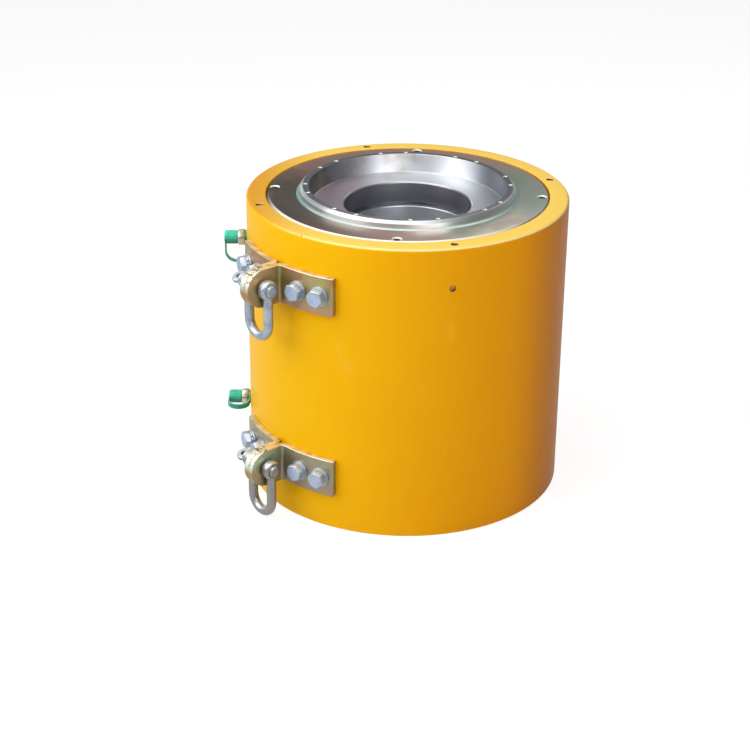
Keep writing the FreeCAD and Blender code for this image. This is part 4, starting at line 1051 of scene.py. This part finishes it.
# %% [markdown]
# ## Piston and tube
# The piston carries the anchor plate in its recess, so its rim is bevelled and drilled for sixteen screws,
# in eight pairs. Its outline has the grooves of the hidden seals too, because they show when the piston is
# drawn out of the barrel in a section or an exploded view. The tube keeps the strands away from the oil.

# %% Piston and tube
PISTON_FOOT = 100.3
PISTON_HEAD = 80
SEAL_WIDTH = 12
OUTER_GROOVES = ((202, 32), (197, 48), (202, 64))
INNER_GROOVES = ((116, 48), (111, 32))
RECESS_FLOOR = 452.5
PISTON_BORE = 99
BORE_END = 419
PISTON_INSIDE = 112
PISTON_TAP = (2.5, 12, 2.95, 1.0, 0.9)
TAP_PAIRS = (8, 159)
PAIR_AZIMUTH = 12
PAIR_HALF = 7.5
TUBE_BORE = 93
TUBE_TOP = 414


def make_piston():
    outside = BORE_RADIUS - 0.3
    inside = TUBE_RADIUS + 0.3
    shoulder = PISTON_FOOT + PISTON_HEAD
    corners = [(inside, PISTON_FOOT), (198, PISTON_FOOT, 1), (198, PISTON_FOOT + 28, 1),
               (outside, PISTON_FOOT + 28)]
    for bottom, rise in OUTER_GROOVES:
        corners += groove(outside, bottom, PISTON_FOOT + rise, PISTON_FOOT + rise + SEAL_WIDTH)
    corners += [(outside, shoulder, 0.8), (ROD_RADIUS, shoulder, 1),
                (ROD_RADIUS, PISTON_TOP - RIM_BEVEL, 0.8), (ROD_RADIUS - RIM_BEVEL, PISTON_TOP, 0.8),
                (RIM_INSIDE, PISTON_TOP, 0.4), (RIM_INSIDE - 0.6, PISTON_TOP - 0.6, 0.4),
                (RECESS_RADIUS, RECESS_FLOOR, 1.6), (ANCHOR_EDGE, RECESS_FLOOR, 0.5),
                (PISTON_BORE, RECESS_FLOOR - 2, 0.5), (PISTON_BORE, BORE_END, 0.5),
                (PISTON_INSIDE, BORE_END), (PISTON_INSIDE, shoulder), (inside, shoulder)]
    for bottom, rise in INNER_GROOVES:
        corners += groove(inside, bottom, PISTON_FOOT + rise + SEAL_WIDTH, PISTON_FOOT + rise)
    piston = lathe("piston_turned", corners, 360, FINISHES["piston_steel"])
    tap = drill(*PISTON_TAP, 20, PISTON_HOLE)
    for first in (PAIR_AZIMUTH - PAIR_HALF, PAIR_AZIMUTH + PAIR_HALF):
        taps = circle_of(tap.copy(), *TAP_PAIRS, PISTON_TOP, first, PISTON_HOLE)
        piston = carve(piston, taps)
    settle(piston, "piston", "piston")


def make_tube():
    foot, foot_height = TUBE_FOOT
    corners = [(TUBE_BORE, 0, 0.3), (foot, 0, 0.5), (foot, foot_height), (TUBE_RADIUS, foot_height),
               (TUBE_RADIUS, TUBE_TOP, 1.5), (TUBE_BORE, TUBE_TOP, 1.5)]
    tube = lathe("strand_tube", corners, 288, FINISHES["tube_steel"])
    settle(tube, "barrel", "centre_tube")


make_piston()
make_tube()

# %% [markdown]
# ## Lifting brackets
# Each bracket is two flat bars, drilled flat and then bent: one end follows the barrel, the other stands
# out, and the two stand back to back. So they are made that way here. A flat blank with a round end is cut
# out and drilled, its edges are broken with a bevel, and then every point is carried along the bend.

# %% The bend
PLATE_THICKNESS = 10
PLATE_HALF = 30
BEND_INSIDE = 5
PLATE_END_ANGLE = 23.9
PIN_DISTANCE = 290
PLATE_BREAK = 1.3
PIN_HOLE = 9.5
BOLT_HOLE = 8.5


class Bend:
    """Carries a point of the flat bar to its place on the bent one. Lengths in millimetres."""

    def __init__(self):
        swing = BODY_RADIUS + PLATE_THICKNESS + BEND_INSIDE
        self.offset = PLATE_THICKNESS + BEND_INSIDE
        self.reach = math.sqrt(swing ** 2 - self.offset ** 2)
        self.far = PIN_DISTANCE + PLATE_HALF
        self.tab = self.far - self.reach
        self.start = math.atan2(self.offset, self.reach)
        self.corner = math.pi / 2 - self.start
        self.middle = BEND_INSIDE + PLATE_THICKNESS / 2
        self.leg = BODY_RADIUS + PLATE_THICKNESS / 2

    def along(self, angle):
        """How far along the flat bar a hole lies that ends up at an angle round the barrel."""
        return self.tab + self.middle * self.corner + self.leg * (math.radians(angle) - self.start)

    def place(self, u, v, w):
        """u along the bar from the tab's end, v across its height, w through its thickness."""
        if u <= self.tab:
            return (w, u - self.far, v)
        turn = (u - self.tab) / self.middle
        if turn <= self.corner:
            radius = BEND_INSIDE + PLATE_THICKNESS - w
            return (self.offset - radius * math.cos(turn), -self.reach + radius * math.sin(turn), v)
        angle = self.start + (u - self.tab - self.middle * self.corner) / self.leg
        radius = BODY_RADIUS + w
        return (radius * math.sin(angle), -radius * math.cos(angle), v)


BEND = Bend()


# %% Bent plates
def flat_blank(length):
    """The bar before bending: u along X, v along Y, thickness along Z."""
    outline = []
    for step in range(49):
        angle = math.pi / 2 + math.pi * step / 48
        outline.append((PLATE_HALF + PLATE_HALF * math.cos(angle), PLATE_HALF * math.sin(angle)))
    outline += [(length, -PLATE_HALF), (length, PLATE_HALF)]
    count = len(outline)
    points = [(u, v, w) for w in (0, PLATE_THICKNESS) for u, v in outline]
    faces = [tuple(reversed(range(count))), tuple(range(count, 2 * count))]
    faces += [(i, (i + 1) % count, count + (i + 1) % count, count + i) for i in range(count)]
    mesh = bpy.data.meshes.new("blank")
    mesh.from_pydata(points, [], faces)
    mesh.materials.append(FINISHES["bracket_steel"])
    return linked("blank", mesh)


def drilled_blank(length):
    zinc = FINISHES["bracket_steel"]
    tools = []
    holes = [(PIN_HOLE, PLATE_HALF)] + [(BOLT_HOLE, BEND.along(angle)) for angle in BOLT_ANGLES if angle > 0]
    for radius, u in holes:
        tool = lathe_mesh("punch", plug(radius, -5, 15), 64, zinc)
        tool.transform(Matrix.Scale(1 / MM, 4))
        tools.append((tool, Matrix.Translation((u, 0, 0))))
    blank = carve(flat_blank(length), joined(tools, "punches", zinc))
    tidy_mesh(blank.data, 1e-3)
    edge = blank.modifiers.new("edge", "BEVEL")
    edge.width = PLATE_BREAK
    edge.segments = 3
    edge.limit_method = "ANGLE"
    edge.angle_limit = math.radians(50)
    return plain_copy(blank, "plate")


def bent_plate():
    length = BEND.along(PLATE_END_ANGLE)
    plate = drilled_blank(length)
    work = bmesh.new()
    work.from_mesh(plate.data)
    cuts = [BEND.tab + BEND.middle * BEND.corner * step / 24 for step in range(25)]
    cuts += [cuts[-1] + (length - cuts[-1]) * step / 24 for step in range(1, 24)]
    for u in cuts:
        everything = work.verts[:] + work.edges[:] + work.faces[:]
        bmesh.ops.bisect_plane(work, geom=everything, plane_co=(u, 0, 0), plane_no=(1, 0, 0))
    for vertex in work.verts:
        vertex.co = Vector(BEND.place(*vertex.co)) * MM
    work.to_mesh(plate.data)
    work.free()
    tidy_mesh(plate.data)
    return plate


def make_plates():
    plate = bent_plate()
    for level in LEVELS:
        for side, sign in (("right", 1), ("left", -1)):
            place = Matrix.Translation((0, 0, BRACKET_HEIGHTS[level] * MM)) @ Matrix.Diagonal((sign, 1, 1, 1))
            piece = joined([(plate.data, place)], "%s_lug_%s" % (level, side), FINISHES["bracket_steel"])
            tidy_mesh(piece.data)
            settle(piece, "barrel", "%s_bracket_%s_plate" % (level, side))
    bpy.data.objects.remove(plate)


make_plates()

# %% [markdown]
# ## Bolts and washers
# Four bolts hold each bracket, each with a spring washer and a flat washer. A real head is a hexagon whose
# corners are turned off at thirty degrees, which leaves an arc on every flat. The head is built from that
# rule, ring by ring, and a third tree copies bolt and washers to their places.

# %% Copies at given places
def build_placed_copies():
    kinds = {"Piece": "Object", "Size": "Float", "Material": "Material"}
    graph, links, names = new_geometry_tree("placed_copies", kinds)
    piece = graph.node("GeometryNodeObjectInfo", {}, {"Object": links["Piece"]}, "Geometry")
    aim = graph.node("GeometryNodeInputNamedAttribute", {"data_type": "FLOAT_VECTOR"}, {"Name": "aim"},
                     "Attribute")
    inputs = {"Points": links["Geometry"], "Instance": piece, "Rotation": aim, "Scale": links["Size"]}
    copies = graph.node("GeometryNodeInstanceOnPoints", {}, inputs, "Instances")
    close_tree(graph, copies, links["Material"])
    return graph.tree, names


PLACED, PLACED_NAMES = build_placed_copies()


def copies_at(piece, places, material, name):
    """Copies of a piece at matrices. The piece itself is deleted."""
    mesh = bpy.data.meshes.new(name + "_places")
    mesh.from_pydata([place.to_translation() for place in places], [], [])
    aim = mesh.attributes.new("aim", "FLOAT_VECTOR", "POINT")
    for item, place in zip(aim.data, places):
        item.vector = place.to_euler()
    values = {"Piece": piece, "Size": 1.0, "Material": material}
    result = run_tree(mesh, PLACED, PLACED_NAMES, values, name)
    bpy.data.objects.remove(piece)
    return result


# %% Heads and spring washers
HEAD_CORNER = 1.140
HEAD_TOP = 0.475
HEX_TOP = 0.49
HEAD_SLOPE = math.tan(math.radians(30))
HEAD_STEPS = 72
WASHER = (8.5, 15.0, 3.0)
SPRING_WASHER = (8.5, 13.7, 3.5)
SLIT = math.radians(9)


def skinned(rings, name, material):
    """A closed skin over rings that have the same number of points, in metres."""
    work = bmesh.new()
    rings = [[work.verts.new(point) for point in ring] for ring in rings]
    for one, two in zip(rings, rings[1:]):
        for index in range(len(one)):
            after = (index + 1) % len(one)
            work.faces.new((one[index], one[after], two[after], two[index]))
    work.faces.new(rings[0])
    work.faces.new(rings[-1])
    mesh = bpy.data.meshes.new(name)
    work.to_mesh(mesh)
    work.free()
    tidy_mesh(mesh)
    mesh.materials.append(material)
    return mesh


def hexagon_head(flats, height, top_radius, material, below=None):
    """A chamfered hexagon on Z = 0, with a shank of below = (radius, length) under it. Millimetres."""

    def ring(far_at, level_at):
        points = []
        for step in range(HEAD_STEPS):
            angle = 2 * math.pi * step / HEAD_STEPS
            far = far_at(angle)
            points.append((far * math.cos(angle) * MM, far * math.sin(angle) * MM, level_at(far) * MM))
        return points

    def circle(radius, level):
        return ring(lambda angle: radius, lambda far: level)

    def hexagon(shrink, level_at):
        def far_at(angle):
            part = (angle % (math.pi / 3)) - math.pi / 6
            return min(flats / 2 / math.cos(part), flats / 2 * HEAD_CORNER) - shrink
        return ring(far_at, level_at)

    def drop(far):
        return (far - top_radius) * HEAD_SLOPE

    if below:
        shank, length = below
        rings = [circle(shank - 1.2, -length), circle(shank, 1.2 - length), circle(shank, 0.0),
                 circle(flats / 2 - 0.8, 0.0), circle(flats / 2 - 0.8, 0.6), hexagon(0.0, lambda far: 0.8)]
    else:
        rings = [circle(top_radius - 0.5, 0.0), circle(top_radius, 0.1),
                 hexagon(0.35, lambda far: drop(far) + 0.1), hexagon(0.0, lambda far: drop(far) + 0.5)]
    rings += [hexagon(0.0, lambda far: height - drop(far) - 0.5),
              hexagon(0.35, lambda far: height - drop(far) - 0.1),
              circle(top_radius, height - 0.1), circle(top_radius - 0.5, height)]
    return skinned(rings, "head", material)


def spring_washer(material):
    """A split ring whose two ends stand a little apart."""
    inner, outer, thick = SPRING_WASHER
    section = rounded([(x, y, 0.5) for x, y in ((inner, 0), (outer, 0), (outer, thick), (inner, thick))], 2)
    angles = [SLIT / 2 + (2 * math.pi - SLIT) * step / 60 for step in range(61)]
    rings = [[(point.x * math.cos(angle) * MM, point.x * math.sin(angle) * MM, point.y * MM)
              for point in section] for angle in angles]
    return skinned(rings, "spring_washer", material)


# %% Bolts, spring washers and flat washers
HEAD_FLATS = 24.0
HEAD_HEIGHT = 10.0
BOLT_REACH = 23
BOLT_TURNS = (9, 34, 18, 47)
SLIT_TURNS = (40, 160, 250, 320)


def make_bolts():
    zinc = FINISHES["bolt_steel"]
    outside = BODY_RADIUS + PLATE_THICKNESS
    inner, outer, thick = WASHER
    under_head = outside + thick + SPRING_WASHER[2]
    shank = (BOLT_RADIUS - FIT, under_head - BODY_RADIUS + BOLT_REACH)
    flat = [(inner, 0, 0.3), (outer, 0, 0.3), (outer, thick, 0.5), (inner, thick, 0.3)]
    for level in LEVELS:
        head = hexagon_head(HEAD_FLATS, HEAD_HEIGHT, HEAD_FLATS * HEAD_TOP, zinc, shank)
        kinds = {
            "flat_washers": (lathe("flat", flat, 64, zinc), outside, (0, 0, 0, 0)),
            "spring_washers": (linked("spring", spring_washer(zinc)), outside + thick, SLIT_TURNS),
            "bolts": (linked("bolt", head), under_head, BOLT_TURNS),
        }
        for name, (piece, distance, spins) in kinds.items():
            places = [radial(angle, distance, BRACKET_HEIGHTS[level], spin)
                      for angle, spin in zip(BOLT_ANGLES, spins)]
            copies = copies_at(piece, places, zinc, "%s_%s" % (level, name))
            settle(copies, "barrel", "%s_bracket_%s" % (level, name))


make_bolts()

# %% [markdown]
# ## Shackles
# A shackle's bow is forged: the bar flows into its two eyes with no seam. A plain union of a bar and two
# discs would leave a crease there. So the shapes are joined, wrapped in one skin of small cells, and that
# skin is relaxed until the corners round off as they do in a die. The eyes are bored afterwards, because a
# bore is machined and sharp.

# %% Forged shapes
BAR_RADIUS = 7.5
JAW = 31.0
BOW_OUTSIDE = JAW / 2 + 2 * BAR_RADIUS
EYE_RADIUS = 15.0
BOW_DROP = 79.0
PIN_RADIUS = 9.0
SHACKLE_X = -4.0
SKIN_CELL = 0.0006


def forged(piece, cell, relax, name):
    """Wraps joined shapes in one skin and relaxes it."""
    skin = piece.modifiers.new("skin", "REMESH")
    skin.mode = "VOXEL"
    skin.voxel_size = cell
    ease = piece.modifiers.new("ease", "SMOOTH")
    ease.factor = 0.5
    ease.iterations = relax
    return plain_copy(piece, name)


def bar_along(path, radius, material, around=32):
    """A round bar along a list of points, closed at its ends. Millimetres."""
    across = Vector((0, 1, 0))
    angles = [2 * math.pi * step / around for step in range(around)]
    rings = []
    for index, here in enumerate(path):
        ahead = path[min(index + 1, len(path) - 1)] - path[max(index - 1, 0)]
        up = ahead.normalized().cross(across)
        rings.append([(here + (across * math.cos(angle) + up * math.sin(angle)) * radius) * MM
                      for angle in angles])
    return skinned(rings, "bar", material)


def on_the_pin(level, x=0.0):
    """A place on a shackle's pin, counted from the middle of the shackle."""
    return Matrix.Translation(((SHACKLE_X + x) * MM, -PIN_DISTANCE * MM, BRACKET_HEIGHTS[level] * MM))


def along_the_pin(level, x=0.0):
    """The same place with its Z along the pin."""
    return on_the_pin(level, x) @ turned(90, "Y")


# %% Bows
def make_bow(level):
    zinc = FINISHES["shackle_steel"]
    spread = JAW / 2 + BAR_RADIUS
    bend = BOW_DROP - spread
    path = [Vector((-spread, 0, -bend * part)) for part in (0.0, 0.25, 0.5, 0.75)]
    for step in range(33):
        angle = math.pi * step / 32
        path.append(Vector((-spread * math.cos(angle), 0, -bend - spread * math.sin(angle))))
    path += [Vector((spread, 0, -bend * part)) for part in (0.75, 0.5, 0.25, 0.0)]
    bar = bar_along(path, BAR_RADIUS, zinc)
    eye = lathe_mesh("eye", plug(EYE_RADIUS, -BAR_RADIUS, BAR_RADIUS, 4.6), 64, zinc, 6)
    shapes = [(bar, on_the_pin(level))] + [(eye, along_the_pin(level, side * spread)) for side in (-1, 1)]
    bow = forged(joined(shapes, "bow", zinc), SKIN_CELL, 10, level + "_bow")
    hole = PIN_RADIUS + FIT
    bore = [(0, -60), (hole + 1, -60), (hole + 1, -BOW_OUTSIDE), (hole, 1 - BOW_OUTSIDE),
            (hole, BOW_OUTSIDE - 1), (hole + 1, BOW_OUTSIDE), (hole + 1, 60), (0, 60)]
    bow = bored(bow, bore, 64, along_the_pin(level), zinc)
    settle(bow, level + "_shackle", level + "_shackle_bow")


# %% Screw pins
PIN_STAND = 3.2
COLLAR = (12.0, 4.5)
EAR = (11.5, 7.0)
EAR_SINK = 0.88
EAR_HOLE = 4.5
EAR_TURN = 24


def make_pin(level):
    zinc = FINISHES["shackle_steel"]
    wide, long = COLLAR
    ear_radius, ear_thick = EAR
    end = BOW_OUTSIDE + PIN_STAND
    collar = -BOW_OUTSIDE - 0.3 - long
    shaft = lathe_mesh("shaft", [(0, collar), (wide, collar, 1.1), (wide, collar + long, 1.1),
                                 (PIN_RADIUS, collar + long), (PIN_RADIUS, end - 2, 0.6),
                                 (PIN_RADIUS - 2, end, 0.6), (0, end)], 64, zinc)
    ear = lathe_mesh("ear", plug(ear_radius, -ear_thick / 2, ear_thick / 2, 2.0), 64, zinc)
    ear_place = on_the_pin(level, collar - EAR_SINK * ear_radius) @ turned(EAR_TURN, "X")
    neck = lathe_mesh("neck", [(0, -8), (4.0, -8), (8.0, 0), (0, 0)], 32, zinc)
    shapes = [(ear, ear_place), (neck, along_the_pin(level, collar + 1))]
    head = forged(joined(shapes, "head", zinc), SKIN_CELL, 8, "head")
    head = bored(head, plug(EAR_HOLE, -9, 9), 40, ear_place, zinc)
    pin = joined([(head.data, Matrix.Identity(4)), (shaft, along_the_pin(level))], level + "_pin", zinc)
    bpy.data.objects.remove(head)
    settle(pin, level + "_pin", level + "_shackle_pin")


for level in LEVELS:
    make_bow(level)
    make_pin(level)

# %% [markdown]
# ## Oil ports and dust caps
# A brass adaptor with a hexagon screws into each port, and a green plastic cap keeps it clean. The cap
# hangs on its own strap, one soft moulding with a ring round the adaptor's neck. Ribs round the cap are the
# grip, so they are copies in a circle, joined into the moulding by the same relaxed skin that made the
# shackles.

# %% Adaptors
NECK = 3.5
NECK_RADIUS = 7.2
HEX_BORE = 7.0
HEX_LENGTH = 11.0
HEX_FLATS = 24.0
HEX_TURN = 17
CAP_START = NECK + HEX_LENGTH + 0.5
CAP_RADIUS = 10.8
CAP_LENGTH = 21.0
CAP_END = CAP_START + CAP_LENGTH
CAP_WALL = 2.2


def port_place(level, out=0.0, spin=0.0):
    return radial(PORT_AZIMUTH, BODY_RADIUS + out, PORT_HEIGHTS[level], spin)


def make_adaptor(level):
    brass = FINISHES["brass"]
    nipple = CAP_RADIUS - CAP_WALL - FIT
    hex_end = NECK + HEX_LENGTH
    end = CAP_END - 2 * CAP_WALL
    corners = [(OIL_WAY, -18), (PORT_RADIUS, -18, 0.6), (PORT_RADIUS, NECK - 1), (NECK_RADIUS, NECK),
               (NECK_RADIUS, hex_end), (nipple, hex_end), (nipple, end, 0.8), (OIL_WAY, end, 0.5)]
    stem = lathe_mesh("stem", corners, 64, brass)
    hexagon = linked("hexagon", hexagon_head(HEX_FLATS, HEX_LENGTH, HEX_FLATS * HEX_TOP, brass))
    hexagon = bored(hexagon, plug(HEX_BORE, -5, 20), 48, Matrix.Identity(4), brass)
    shapes = [(stem, port_place(level)), (hexagon.data, port_place(level, NECK, HEX_TURN))]
    adaptor = joined(shapes, level + "_adaptor", brass)
    bpy.data.objects.remove(hexagon)
    settle(adaptor, "barrel", level + "_oil_adaptor")


# %% Straps
STRAP_TURNS = {"upper": 0.0, "lower": 90.0}
STRAP_WIDTH = 8.0
STRAP_THICK = 2.5
STRAP_REACH = 41.0
RING_HOLE = 8.3
RING_INSIDE = 8.0
RING_WALL = 2.7
RING_THICK = 2.6
RING_START = NECK - 0.3 - RING_THICK


def strap_band(material):
    """The flat strap in the plane through the port: out along the cap's end, round, and back to the neck."""
    mean = (CAP_END - RING_START) / 2 - STRAP_THICK / 2
    centre = (CAP_END + RING_START) / 2
    bend = STRAP_REACH - mean - STRAP_THICK / 2
    root = RING_INSIDE + RING_WALL / 2
    low = RING_START + STRAP_THICK / 2
    high = CAP_END - STRAP_THICK / 2
    line = [(low, root), (low, (root + bend) / 2)]
    line += [(centre - mean * math.cos(math.pi * step / 24), bend + mean * math.sin(math.pi * step / 24))
             for step in range(25)]
    line += [(high, (root + bend) / 2), (high, 3.0)]
    rings = []
    for index, (out, down) in enumerate(line):
        ahead = Vector(line[min(index + 1, len(line) - 1)]) - Vector(line[max(index - 1, 0)])
        side = Vector((ahead.y, -ahead.x)).normalized() * (STRAP_THICK / 2)
        rings.append([(across * STRAP_WIDTH / 2 * MM, -(down + thick * side.y) * MM,
                       (out + thick * side.x) * MM)
                      for across, thick in ((-1, -1), (1, -1), (1, 1), (-1, 1))])
    return skinned(rings, "strap", material)


# %% Dust caps
RIB_COUNT = 28
RIB_RADIUS = 0.55
MOULD_CELL = 0.00035


def make_cap(level):
    green = FINISHES["green_plastic"]
    skin = CAP_RADIUS - 0.5
    shell = lathe_mesh("shell", [(0, CAP_START), (skin, CAP_START, 0.4), (skin, CAP_END, 2.4), (0, CAP_END)],
                       72, green, 5)
    rib = lathe_mesh("rib", [(0, CAP_START + 1.5), (RIB_RADIUS, CAP_START + 1.5), (RIB_RADIUS, CAP_END - 3.4),
                             (0, CAP_END - 2.4)], 8, green)
    ribs = circle_of(rib, RIB_COUNT, CAP_RADIUS - RIB_RADIUS, 0, 0, green)
    neck_ring = plug(RING_HOLE + RING_WALL, RING_START, RING_START + RING_THICK, 0.5, inner=RING_INSIDE)
    ring = lathe_mesh("ring", neck_ring, 64, green)
    spin = port_place(level, 0.0, STRAP_TURNS[level])
    shapes = [(shell, spin), (ribs.data, spin), (ring, spin), (strap_band(green), spin)]
    cap = forged(joined(shapes, "cap", green), MOULD_CELL, 3, level + "_cap")
    bpy.data.objects.remove(ribs)
    cap = bored(cap, plug(CAP_RADIUS - CAP_WALL, CAP_START - 2, CAP_END - CAP_WALL), 64, spin, green)
    cap = bored(cap, plug(RING_HOLE, -2, NECK + 1), 64, spin, green)
    settle(cap, level + "_cap", level + "_dust_cap")


for level in LEVELS:
    make_adaptor(level)
    make_cap(level)

# %% [markdown]
# ## Lock screw
# A small slotted screw in the barrel's side keeps the gland ring from turning. It is a turned plug with a
# slot.

# %% Lock screw
SCREW_SINK = 1.5
SLOT = (1.6, 14, 4.4)
SLOT_TURN = 35


def make_lock_screw():
    steel = FINISHES["black_steel"]
    azimuth, height = LOCK_SCREW
    radius = SCREW_RADIUS - FIT
    tip = GLAND_RADIUS + 0.3
    head = BODY_RADIUS - SCREW_SINK
    corners = [(0, tip), (2.5, tip), (radius, tip + 2.5), (radius, head, 0.8), (0, head)]
    screw = lathe("lock_screw", corners, 40, steel)
    slot = bpy.data.meshes.new("slot")
    work = bmesh.new()
    bmesh.ops.create_cube(work, size=1.0)
    work.to_mesh(slot)
    work.free()
    size = Matrix.Diagonal([length * MM for length in SLOT] + [1])
    place = Matrix.Translation((0, 0, head * MM)) @ turned(SLOT_TURN, "Z") @ size
    screw = carve(screw, joined([(slot, place)], "slot_tool", steel))
    screw.data.transform(radial(azimuth, 0, height))
    settle(screw, "barrel", "gland_lock_screw")


make_lock_screw()
